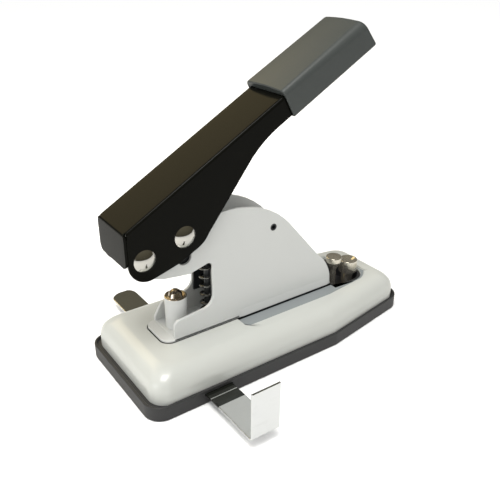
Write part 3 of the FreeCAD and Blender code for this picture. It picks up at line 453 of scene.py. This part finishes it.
# Painted shade: the recess floor beside the frame gets a darker cool grey, standing in for the frame's
# shade falling on it.
recess_shade_paint = finish("recess_shade_paint", (0.23, 0.25, 0.255), 0.22, specular=0.5, grain_size=1500.0,
                      patch_size=20.0, tone=0.06, gloss=0.08, bump=0.03)
cover.data.materials.append(recess_shade_paint)
for face in cover.data.polygons:
    on_floor = abs(face.center.z / MM - TOP + RECESS_DROP) < FLAT_WITHIN
    face.material_index = int(face.normal.z > 0.9 and on_floor)

# ---- folded frame ---------------------------------------------------------------------------
# Steel sheet folded into a channel: two tall cheeks that carry the lever, a floor between
# them and a short tongue in front, all painted a cool pale grey.


def arc_path(points, pitch=7.0):
    """Closed outline from (u, v) corners and (u, v, radius) points, where the edge arriving is
    an arc, its centre on the left for a positive radius; about one point per pitch degrees."""
    made = []
    for k, point in enumerate(points):
        b = np.array(point[:2], float)
        if len(point) == 3:
            a = np.array(points[k - 1][:2], float)
            chord, radius = b - a, float(point[2])
            left = np.array([-chord[1], chord[0]]) / np.linalg.norm(chord)
            reach = math.sqrt(max(radius ** 2 - (chord ** 2).sum() / 4, 0.0))
            centre = (a + b) / 2 + left * math.copysign(reach, radius)
            t0 = math.atan2(*(a - centre)[::-1])
            swing = (math.atan2(*(b - centre)[::-1]) - t0) % (2 * math.pi)
            swing = swing if radius > 0 else swing - 2 * math.pi
            count = max(3, int(abs(math.degrees(swing)) / pitch) + 1)
            t = t0 + swing * np.linspace(0, 1, count + 1)[1:-1]
            made.append(centre + abs(radius) * np.stack([np.cos(t), np.sin(t)], 1))
        made.append(b[None])
    return np.concatenate(made)


def shrink(path, inset):
    """Closed path with each point moved in along the mean of its two edges' normals."""
    ahead = np.roll(path, -1, 0) - path
    ahead /= np.maximum(np.linalg.norm(ahead, axis=1, keepdims=True), 1e-9)
    left = np.stack([-ahead[:, 1], ahead[:, 0]], 1)
    behind = np.roll(left, 1, 0)
    return path + inset * (left + behind) / np.maximum(1 + (left * behind).sum(1), 0.3)[:, None]


def ring_path(u, v, radius, count=32, tall=0.0):
    """Circle, or a slot with two half-circles a distance apart, as a closed path."""
    t = np.arange(count) * 2 * math.pi / count + math.pi / count
    lift = np.where(np.sin(t) > 0, tall, 0.0)
    return np.stack([u + radius * np.cos(t), v + radius * np.sin(t) + lift], 1)


def plate(paths, low, high, edge=0.3):
    """Flat plate between two heights: the first path is its outline and the others are holes,
    all counter-clockwise. Every rim is rounded by the edge radius; the flat faces are one
    constrained triangulation of the rims."""
    turn = np.linspace(0, math.pi / 2, 4)
    inset = np.concatenate([edge * (1 - np.sin(turn)), edge * (1 - np.cos(turn))])
    height = np.concatenate([low + edge * (1 - np.cos(turn)), high - edge * (1 - np.sin(turn))])
    points, faces, base, rims = [], [], 0, []
    for k, path in enumerate(paths):
        sign = 1.0 if k == 0 else -1.0
        rings = np.array([level(shrink(path, sign * i), h) for i, h in zip(inset, height)])
        body, groups = shell(rings, (False, False))
        points.append(body)
        faces += [g + base if k == 0 else (g + base)[:, ::-1] for g in groups]
        rims.append((base, len(path)))
        base += len(body)
    joined = np.concatenate(points)
    first = np.concatenate([np.arange(b, b + n) for b, n in rims])
    starts = np.cumsum([0] + [n for b, n in rims])
    loops = [list(range(a, b)) for a, b in zip(starts[:-1], starts[1:])]
    flat = [Vector(p[:2]) for p in joined[first]]
    found = delaunay_2d_cdt(flat, [], loops, 2, 1e-7)
    source = np.array([o[0] for o in found[3]])
    triangles = first[source[np.array(found[2])]]
    ring_count = len(inset) - 1
    lift = np.concatenate([np.full(n, n * ring_count) for b, n in rims])
    shift = np.zeros(base, int)
    shift[first] = lift
    faces += [triangles[:, ::-1], triangles + shift[triangles]]
    return joined, faces


def upright(part):
    """Plate drawn in plan turned to stand across the press: u to X, v to Z, height to -Y."""
    p, faces = part
    return np.stack([p[:, 0], -p[:, 2], p[:, 1]], 1), faces


FRAME_HALF, SHEET, WEB = 12.3, 1.8, 26.0
FULCRUM, RAM_PIN = (-23.4, 79.4), (-0.6, 86.2)
cheek = [(-8.0, WEB - SHEET), (103.5, WEB - SHEET), (102.9, 31.4), (97.0, 43.4, 32.0), (92.5, 47.6),
         (69.5, 74.4), (38.0, 91.8, 52.0), (24.0, 93.0, 60.0), (-21.4, 87.3), (-31.3, 78.9, 8.2),
         (-26.4, 69.0, 11.0), (-12.0, 64.3), (3.0, 62.6), (13.8, 65.6), (16.8, 62.6, -3.0),
         (16.8, 45.4), (9.8, 38.4, -7.0), (-3.5, 36.8), (-8.0, 33.2, 4.0)]
far_jaw = [(-0.8, 37.1), (-3.6, 35.9), (-8.0, 28.3)]
SPACER, DIE_HOLE_R, ROD_X, ROD_HOLE_R = (57.4, 75.4, 2.05), 3.05, 21.2, 1.55
cheek_holes = [ring_path(*SPACER), ring_path(0.0, 73.1, 4.1, tall=11.5), ring_path(*FULCRUM, 3.05)]
near_cheek = upright(plate([arc_path(cheek)] + cheek_holes, FRAME_HALF - SHEET, FRAME_HALF, 0.35))
far_cheek = upright(plate([arc_path(cheek[:-2] + far_jaw)] + cheek_holes, -FRAME_HALF,
                          SHEET - FRAME_HALF, 0.35))
flare_ends = np.array([[34.0, 0.0], [36.5, 1.0], [100.5, 1.0], [102.8, 0.0]])
FLARE_OUT, flare_back, flare_skin = 0.43, -FRAME_HALF + 0.3, -FRAME_HALF - 0.02
foot_flare = shell([[(x, flare_back, 24.3), (x, flare_back, 29.6), (x, flare_skin, 29.3),
                     (x, flare_skin - FLARE_OUT * out, 24.6)] for x, out in flare_ends])
floor_plan = [(-8.0, -FRAME_HALF), (103.4, -FRAME_HALF), (103.4, FRAME_HALF), (-8.0, FRAME_HALF)]
floor_part = plate([arc_path(floor_plan), ring_path(0.0, 0.0, DIE_HOLE_R),
                    ring_path(ROD_X, 0.0, ROD_HOLE_R)], WEB - SHEET + 0.02, WEB, 0.5)
tongue_part = plate([arc_path([(-14.2, -6.3), (-8.2, -12.3, 6.0), (-7.4, -12.3), (-7.4, 12.3),
                               (-8.2, 12.3), (-14.2, 6.3, 6.0)])], WEB - SHEET, WEB - 0.5, 0.3)
frame_paint = finish("frame_paint", (0.57, 0.58, 0.565), 0.3, specular=0.5, coat=0.3, coat_rough=0.1,
                     grain_size=1500.0, patch_size=18.0, tone=0.04, gloss=0.06, bump=0.03, mark=0.05,
                     mark_colour=(0.5, 0.48, 0.44))
face_weighted(piece("frame_folded_sheet",
                    [near_cheek, far_cheek, foot_flare, floor_part, tongue_part], "base",
                    ("frame_channel",), frame_paint))

# ---- die post -------------------------------------------------------------------------------
# Turned steel post screwed down through the frame's floor: painted up to its rim, bare and
# dished on top, with a broad domed pilot that centres the grommet. The bare steel's brown tint, patches and
# dark streaks are painted reflections of the black lever and the warm room.
BARE_FROM = 36.8


def turned(profile, x=0.0, y=0.0, count=64, axis="z"):
    """Profile of (radius, height) points swept round an axis, each point one ring."""
    t = np.arange(count) * 2 * math.pi / count
    table = np.array(profile, float)
    r, h = table[:, 0, None], np.broadcast_to(table[:, 1, None], (len(table), count))
    rings = np.stack([r * np.cos(t), r * np.sin(t), h], -1)
    if axis == "y":
        rings = np.stack([rings[..., 0], -rings[..., 2], rings[..., 1]], -1)
        rings = rings + np.array([x, 0.0, y])
    else:
        rings = rings + np.array([x, y, 0.0])
    return shell(rings)


def soft(points, steps=4):
    """Open profile of (radius, height, rounding) with its corners rounded."""
    return outline([(a, b, r, steps if r else 0) for a, b, r in points])


die_profile = soft([(2.9, 9.5, 0), (2.9, 26.0, 0), (6.2, 26.0, 0), (6.2, 45.2, 0.5), (5.1, 45.2, 0.2),
                    (4.7, 44.6, 0.2), (4.3, 44.9, 0.3), (3.2, 47.3, 1.5), (1.6, 48.6, 1.5),
                    (0.05, 48.9, 0)])
# Painted reflection: the bare steel is tinted brown, with strong tone patches and dark brown streaks for
# the lever and the warm room mirrored in it.
die_steel_painted_reflection = finish("die_steel_painted_reflection", (0.6, 0.52, 0.43), 0.2, metal=1.0, tone=0.9, gloss=0.2, patch_size=260.0,
                   bump=0.03, mark=0.75, mark_colour=(0.16, 0.1, 0.06), mark_size=330.0)
die = piece("die_post_turned", [turned(die_profile[:-1])], "base", ("die_post",),
            frame_paint, crease=50.0)
die.data.materials.append(die_steel_painted_reflection)
for face in die.data.polygons:
    face.material_index = 1 if face.center.z > BARE_FROM * MM else 0
dress(zinc, "die_nut")

# ---- ram and punch --------------------------------------------------------------------------
# Blackened steel ram that slides between the cheeks, its bare steel punch held by a set screw.
# The spring's bracket, the mounting plate and the riser have the same blackened finish.
black_steel = finish("black_steel", (0.03, 0.032, 0.034), 0.38, metal=0.4, tone=0.3, gloss=0.2,
                     bump=0.06, mark=0.3, mark_colour=(0.1, 0.1, 0.1))
dress(black_steel, "ram_block", "punch_set_screw", "guide_bracket", "mounting_plate", "frame_riser")
# The punch takes the same steel with its painted brown reflections.
dress(die_steel_painted_reflection, "setting_punch")

# ---- guide rod, return spring and rear spacer -------------------------------------------------
# A rod in the same dark finish as the ram stands behind the die inside a black coil spring that
# lifts the ram's foot; the riveted tube through the rear of the cheeks keeps them apart.
SEAT_TOP, RAM_FOOT = 27.05, 62.75
rod_profile = soft([(1.5, 22.6, 0), (1.5, 26.0, 0), (2.4, 26.0, 0), (2.4, 76.0, 0.3), (1.4, 77.5, 0.3),
                    (0.05, 77.5, 0)])
piece("guide_rod_turned", [turned(rod_profile[:-1], ROD_X)], "base", ("guide_rod",),
      black_steel)
turns, coil_r, wire_r = 7.0, 4.5, 0.75
spring_low, spring_high = SEAT_TOP + wire_r, RAM_FOOT - wire_r


def coil(turns, low, high, radius, wire, per_turn=36, around=12, flat=0.7):
    """Round wire wound on a helix whose pitch closes up over the end turns."""
    t = np.linspace(0, turns, int(turns * per_turn) + 1)
    ease = np.clip(t / flat, 0, 1) ** 2 * np.clip((turns - t) / flat, 0, 1) ** 2
    climb = np.concatenate([[0], np.cumsum((0.12 + ease)[1:])])
    z = low + (high - low) * climb / climb[-1]
    a = 2 * math.pi * t
    out = np.stack([np.cos(a), np.sin(a), np.zeros_like(a)], 1)
    centre = out * radius + np.stack([np.zeros_like(z), np.zeros_like(z), z], 1)
    along = np.gradient(centre, axis=0)
    along /= np.linalg.norm(along, axis=1, keepdims=True)
    side = np.cross(along, out)
    w = np.arange(around) * 2 * math.pi / around
    return (centre[:, None] + wire * (np.cos(w)[None, :, None] * out[:, None]
                                      + np.sin(w)[None, :, None] * side[:, None]))


spring_rings = coil(turns, spring_low, spring_high, coil_r, wire_r) + np.array([ROD_X, 0, 0])
black_spring = finish("black_spring", (0.16, 0.16, 0.15), 0.24, metal=0.8, tone=0.2, gloss=0.2,
                      bump=0.04)
spring = piece("return_spring_coil", [shell(spring_rings)], "base",
               ("return_spring",), black_spring)
dress(black_steel, "spring_seat", "rear_spacer")

# ---- lever ------------------------------------------------------------------------------------
# Long folded steel channel, open below, in black gloss paint: two deep cheeks round the pivot,
# a top skin over tight bends and a flap folded down over the front end.
TILT = math.radians(29.6)
LEVER_HALF, LEVER_SHEET, SKIN = 15.25, 1.4, 18.8


def along(distance, height):
    """Point a distance along the lever and a height square to it, both from the fulcrum."""
    return (FULCRUM[0] + distance * math.cos(TILT) - height * math.sin(TILT),
            FULCRUM[1] + distance * math.sin(TILT) + height * math.cos(TILT))


def sheet(name, grids, thick, body, nodes, material, bend=0.25, rim=2):
    """Sheet-metal piece from grids of points on its outer face, joined where their edges share
    points: the wall goes inward and the cut edges are rounded."""
    parts = []
    for points in grids:
        rows, count = points.shape[:2]
        index = np.arange(rows * count).reshape(rows, count)
        quads = np.stack([index[:-1, :-1], index[:-1, 1:], index[1:, 1:], index[1:, :-1]], -1)
        parts.append((points.reshape(-1, 3), [quads.reshape(-1, 4)]))
    obj = piece(name, parts, body, nodes, material, closed=False)
    wall_of = obj.modifiers.new("wall", "SOLIDIFY")
    wall_of.thickness, wall_of.offset, wall_of.use_even_offset = thick * MM, -1.0, True
    edge = obj.modifiers.new("rounded_rim", "BEVEL")
    edge.width, edge.segments, edge.limit_method = bend * MM, rim, "ANGLE"
    edge.angle_limit, edge.use_clamp_overlap = math.radians(50), False
    return face_weighted(obj)


BEND, NOSE_R, LEVER_END = 1.7, 10.0, 164.0
front_x = FULCRUM[0] - NOSE_R
under = arc_path([(front_x + 1.5, FULCRUM[1] + 12.0), (front_x + 1.5, FULCRUM[1] - 2.9),
                  (-18.5, 68.3, NOSE_R), (-4.6, 72.4), (6.5, 77.9),
                  (13.4, 84.6, 16.0), along(75.5, 3.5), along(96.0, 7.0) + (-62.0,),
                  along(LEVER_END, 7.0)], 5.0)
fold_start, fold_end = np.array(along(0.5, SKIN - BEND)), np.array(along(LEVER_END, SKIN - BEND))
length = np.linalg.norm(np.diff(under, axis=0), axis=1)
share = np.concatenate([[0], np.cumsum(length)]) / length.sum()
fine_share = np.unique(np.concatenate([share, np.linspace(0, 1, 60)]))
under = np.stack([np.interp(fine_share, share, under[:, k]) for k in range(2)], 1)
fold = fold_start + (fold_end - fold_start) * (fine_share ** 1.15)[:, None]
drop = np.linspace(1, 0, 5)[:, None, None]
cheek_grid = drop * under[None] + (1 - drop) * fold[None]
bend_turn = np.linspace(0, math.pi / 2, 7)[1:]
top_normal = np.array([-math.sin(TILT), math.cos(TILT)])
near_rows = [np.stack([c[:, 0], np.full(len(c), -LEVER_HALF), c[:, 1]], 1) for c in cheek_grid]
for a in bend_turn:
    path = fold + top_normal * BEND * math.sin(a)
    near_rows.append(np.stack([path[:, 0], np.full(len(path), -LEVER_HALF + BEND * (1 - math.cos(a))),
                               path[:, 1]], 1))
across = np.linspace(-1, 1, 9)
ridge = near_rows[-1] * np.array([1, 0, 1])
crown = [ridge + np.array([0, (LEVER_HALF - BEND) * share_y, 0]) for share_y in across[1:-1]]
far_rows = [row * np.array([1, -1, 1]) for row in near_rows[::-1]]
lever_grid = np.array(near_rows + crown + far_rows)
lever_paint = finish("lever_paint", (0.0045, 0.0045, 0.0035), 0.18, specular=0.05,
                     grain_size=1100.0, patch_size=22.0, tone=0.3, gloss=0.08, bump=0.02, mark=0.12,
                     mark_colour=(0.014, 0.013, 0.01), mark_size=60.0)
FOLD_R, FLAP_LOW, FLAP_ROUND, TUCK_FROM = 1.6, 76.7, 4.0, 93.4
corner_at = (front_x - FULCRUM[0] + SKIN * math.sin(TILT)) / math.cos(TILT)
tangent = FOLD_R * math.tan(math.pi / 4 - TILT / 2)
flap_path = arc_path([(front_x, z) for z in (FLAP_LOW, 76.95, 77.4, 78.1, 79.2, 80.7, 92.4)]
                     + [(front_x, along(corner_at, SKIN)[1] - tangent),
                        along(corner_at + tangent, SKIN) + (-FOLD_R,), along(0.5, SKIN)], 8.0)
below = np.clip(FLAP_ROUND - (flap_path[:, 1] - FLAP_LOW), 0, FLAP_ROUND)
corner_cut = FLAP_ROUND - np.sqrt(np.maximum(FLAP_ROUND ** 2 - below ** 2, 0))
flap_half = LEVER_HALF - 0.1 - corner_cut
tuck = np.clip((flap_path[:, 1] - TUCK_FROM) / (flap_path[-1, 1] - TUCK_FROM), 0, 1) ** 1.5
flap_half += (LEVER_HALF - BEND - flap_half) * tuck
flap_grid = np.stack([np.broadcast_to(flap_path[:, None, 0], (len(flap_path), 9)),
                      flap_half[:, None] * across, np.broadcast_to(flap_path[:, None, 1],
                                                                   (len(flap_path), 9))], -1)
sheet("lever_channel", [lever_grid, flap_grid[:, ::-1]], LEVER_SHEET, "handle",
      ("handle_lever",), lever_paint)

# ---- hand grip --------------------------------------------------------------------------------
# Thick soft sleeve in mid-grey vinyl pushed over the lever's end, crowned along the top, with
# a rolled lip where it starts and a closed rounded end.
GRIP_FROM, GRIP_TO, GRIP_HALF = 106.2, 168.9, 16.85
MOUTH_SHOULDER, END_SHOULDER, LIP_ROUND, END_ROUND, END_LEAN = 3.2, 5.2, 0.8, 1.5, -0.2


def grip_plan(shoulder):
    """Section of the sleeve, its top corners rounded by the shoulder radius."""
    return [(-GRIP_HALF, 6.0, 1.2, 3), (GRIP_HALF, 6.0, 1.2, 3), (GRIP_HALF, 22.1, shoulder, 8),
            (6.0, 22.9, 0, 0), (0.0, 23.1, 0, 0), (-6.0, 22.9, 0, 0), (-GRIP_HALF, 22.1, shoulder, 8)]


hole_plan = [(-15.35, 6.9, 0.8, 3), (15.35, 6.9, 0.8, 3), (15.35, 18.9, 2.0, 8), (6.0, 18.9, 0, 0),
             (0.0, 18.9, 0, 0), (-6.0, 18.9, 0, 0), (-15.35, 18.9, 2.0, 8)]


def across_lever(section, distance, lean=0.0):
    """Section of (side, height) points set square across the lever, leaning with height."""
    d = distance + lean * (section[:, 1] - 14.0)
    x = FULCRUM[0] + d * math.cos(TILT) - section[:, 1] * math.sin(TILT)
    z = FULCRUM[1] + d * math.sin(TILT) + section[:, 1] * math.cos(TILT)
    return np.stack([x, section[:, 0], z], 1)


grip_rings = [across_lever(outline(hole_plan), GRIP_FROM + deep) for deep in (6.0, 0.5)]
for a in np.linspace(0, math.pi / 2, 5):
    lip_ring = outline(grip_plan(MOUTH_SHOULDER), LIP_ROUND - LIP_ROUND * math.sin(a))
    grip_rings.append(across_lever(lip_ring, GRIP_FROM + LIP_ROUND * (1 - math.cos(a))))
for part in np.linspace(0.05, 1, 14):
    body_ring = outline(grip_plan(MOUTH_SHOULDER + (END_SHOULDER - MOUTH_SHOULDER) * part))
    grip_rings.append(across_lever(body_ring, GRIP_FROM + 61.0 * part, END_LEAN * part ** 3))
for a in np.linspace(0, math.pi / 2, 7)[1:]:
    end_ring = outline(grip_plan(END_SHOULDER), END_ROUND * (1 - math.cos(a)))
    grip_rings.append(across_lever(end_ring, GRIP_TO - 1.7 + 1.7 * math.sin(a), END_LEAN))
grip_rings += [across_lever(outline(grip_plan(END_SHOULDER), 4.0), GRIP_TO + 0.15, END_LEAN)]
grip_vinyl = finish("grip", (0.05, 0.056, 0.054), 0.4, specular=0.35, grain_size=2200.0,
                    patch_size=30.0, tone=0.12, gloss=0.1, bump=0.1, mark=0.12,
                    mark_colour=(0.08, 0.08, 0.072))
face_weighted(piece("hand_grip_sleeve", [shell(grip_rings)], "handle", ("handle_grip",),
                    grip_vinyl, crease=60.0))

# ---- pins and washers -------------------------------------------------------------------------
# Two steel pins through the lever with chromed domed heads on the near cheek and pressed
# domed caps on the far one; a washer each side of the frame at the fulcrum.
chrome = finish("chrome", (0.6, 0.585, 0.55), 0.07, metal=1.0, tone=0.05, gloss=0.08, bump=0.012,
                mark=0.25, mark_colour=(0.5, 0.5, 0.48))
DOME_R, DOME_RISE, SHANK_R, HEAD_SEAT = 5.9, 2.6, 3.0, LEVER_HALF - 0.1
sphere = (DOME_R ** 2 + DOME_RISE ** 2) / (2 * DOME_RISE)
theta = np.linspace(math.asin(DOME_R / sphere), 0.01, 14)
cap_profile = [(SHANK_R, HEAD_SEAT), (DOME_R - 0.3, HEAD_SEAT), (DOME_R, LEVER_HALF + 0.05)]
cap_profile += [(sphere * math.sin(a), LEVER_HALF - sphere + DOME_RISE + sphere * math.cos(a))
                for a in theta[1:]]
for label, (px, pz) in (("fulcrum_pin", FULCRUM), ("ram_pin", RAM_PIN)):
    shank = [(SHANK_R - 0.4, -LEVER_HALF - 1.4), (SHANK_R, -LEVER_HALF - 1.0), (SHANK_R, HEAD_SEAT)]
    headed = turned(shank + cap_profile[1:], px, pz, 48, "y")
    piece(label + "_headed", [headed], "handle", (label,), chrome)
    far_cap = turned(cap_profile, px, -pz, 48, "y")
    far_points = far_cap[0] * np.array([1, -1, -1])
    piece(label + "_cap_pressed", [(far_points, far_cap[1])], "handle",
          (label + "_cap",), chrome)
nylon = finish("nylon", (0.7, 0.69, 0.64), 0.5, specular=0.4, bump=0.1)
dress(nylon, "pivot_washers", "guide_blocks")

# ---- side guide -------------------------------------------------------------------------------
# One chromed strip that slides through the base, folded up at the near end as a stop for the sheet
# and rounded at the far tip; near the stop a black band is painted on as the reflection of the black
# tray wall, crossed by one bare line standing for the rim edge's highlight.
GUIDE_LEFT, GUIDE_RIGHT, GUIDE_LOW, GUIDE_T = -6.3, 10.4, 5.3, 1.2
GUIDE_NEAR, GUIDE_FAR, GUIDE_TOP, TIP, FOLD = -81.2, 82.0, 33.8, 7.0, 2.2
tip_turn = np.linspace(0, math.pi / 2, 9)
strip_y = np.concatenate([GUIDE_FAR - TIP * (1 - np.cos(tip_turn)), [60.0, 0.0, -60.0]])
strip_path = arc_path([(y, GUIDE_LOW) for y in strip_y]
                      + [(GUIDE_NEAR + FOLD, GUIDE_LOW), (GUIDE_NEAR, GUIDE_LOW + FOLD, -FOLD),
                         (GUIDE_NEAR, 20.0), (GUIDE_NEAR, GUIDE_TOP)], 10.0)
end_gap = np.clip((strip_path[:, 0] - (GUIDE_FAR - TIP)) / TIP, 0, 1)
squeeze = 1 - np.sqrt(np.maximum(1 - end_gap ** 2, 0))
mid = (GUIDE_LEFT + GUIDE_RIGHT) / 2 + 1.0
left_edge = GUIDE_LEFT + (mid - GUIDE_LEFT) * squeeze * 0.96
right_edge = GUIDE_RIGHT + (mid - GUIDE_RIGHT) * squeeze * 0.62
width_share = np.linspace(0, 1, 7)
guide_x = left_edge[:, None] + (right_edge - left_edge)[:, None] * width_share
guide_grid = np.stack([guide_x, np.broadcast_to(strip_path[:, None, 0], guide_x.shape),
                       np.broadcast_to(strip_path[:, None, 1], guide_x.shape)], -1)
guide_chrome = finish("guide_chrome", (0.82, 0.83, 0.83), 0.1, metal=1.0, tone=0.08, gloss=0.1,
                      bump=0.015, mark=0.25, mark_colour=(0.5, 0.5, 0.49))
# Painted reflection: a black, non-metallic band for the tray wall mirrored in the chrome, with one bare
# line for the rim's highlight; it moves with the strip.
BAND_FAR, BAND_NEAR, LINE_Y, LINE_HALF = -38.0, -52.0, -44.7, 0.3
tree = guide_chrome.node_tree
shader = tree.nodes["Principled BSDF"]
place = node(tree, "ShaderNodeSeparateXYZ", (), ((0, node(tree, "ShaderNodeTexCoord").outputs["Object"]),))
band_mid, band_half = (BAND_FAR + BAND_NEAR) / 2, (BAND_FAR - BAND_NEAR) / 2
in_band = node(tree, "ShaderNodeMath", (("operation", "COMPARE"), (1, band_mid * MM), (2, band_half * MM)),
               ((0, place.outputs["Y"]),))
on_line = node(tree, "ShaderNodeMath", (("operation", "COMPARE"), (1, LINE_Y * MM), (2, LINE_HALF * MM)),
               ((0, place.outputs["Y"]),))
painted_reflection = node(tree, "ShaderNodeMath", (("operation", "SUBTRACT"), ("use_clamp", True)),
           ((0, in_band.outputs[0]), (1, on_line.outputs[0])))
reflection_paint = node(tree, "ShaderNodeMix", (("data_type", "RGBA"),), (("Factor", painted_reflection.outputs[0]),))
tree.links.new(shader.inputs["Base Color"].links[0].from_socket, reflection_paint.inputs[6])
reflection_paint.inputs[7].default_value = (0.008, 0.009, 0.007, 1)
tree.links.new(reflection_paint.outputs[2], shader.inputs["Base Color"])
bare = node(tree, "ShaderNodeMath", (("operation", "SUBTRACT"), (0, 1.0)), ((1, painted_reflection.outputs[0]),))
tree.links.new(bare.outputs[0], shader.inputs["Metallic"])
sheet("side_guide_folded", [guide_grid], GUIDE_T, "side_guide", ("side_guide",), guide_chrome,
      0.3)
spring_steel = finish("spring_steel", (0.4, 0.41, 0.42), 0.3, metal=1.0, bump=0.05)
dress(spring_steel, "friction_leaf")

# ---- tool well and spare tooling ----------------------------------------------------------------
# A black moulded well behind the frame holds a spare flared punch and a spare die, both turned
# and polished steel.
dress(black_plastic, "tool_well")
PUNCH_AT, DIE_AT = (112.6, -5.0), (126.2, -4.6)
satin_nickel = finish("satin_nickel", (0.7, 0.66, 0.57), 0.17, metal=0.86, tone=0.3, gloss=0.15,
                      patch_size=160.0, bump=0.03, mark=0.5, mark_colour=(0.3, 0.27, 0.22), mark_size=260.0)
punch_profile = soft([(3.1, 5.3, 0), (3.1, 15.2, 0.3), (2.0, 16.0, 0.3), (2.0, 29.0, 2.0), (5.1, 34.6, 0.8),
                      (5.2, 38.0, 0.6), (0.05, 38.0, 0)])
spare_profile = soft([(3.1, 5.3, 0), (3.1, 16.8, 0), (4.0, 16.8, 0.3), (4.0, 23.5, 0.2), (5.9, 23.5, 0.4),
                      (5.9, 32.0, 0.5), (4.9, 32.0, 0.2), (2.6, 30.7, 0.2), (0.05, 30.7, 0)])
piece("spare_punch_turned", [turned(punch_profile[:-1], *PUNCH_AT)], "spare_punch",
      ("spare_punch",), satin_nickel, crease=50.0)
piece("spare_die_turned", [turned(spare_profile[:-1], *DIE_AT)], "spare_die",
      ("spare_die",), satin_nickel, crease=50.0)

# ---- close ----------------------------------------------------------------------------------
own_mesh(spring)
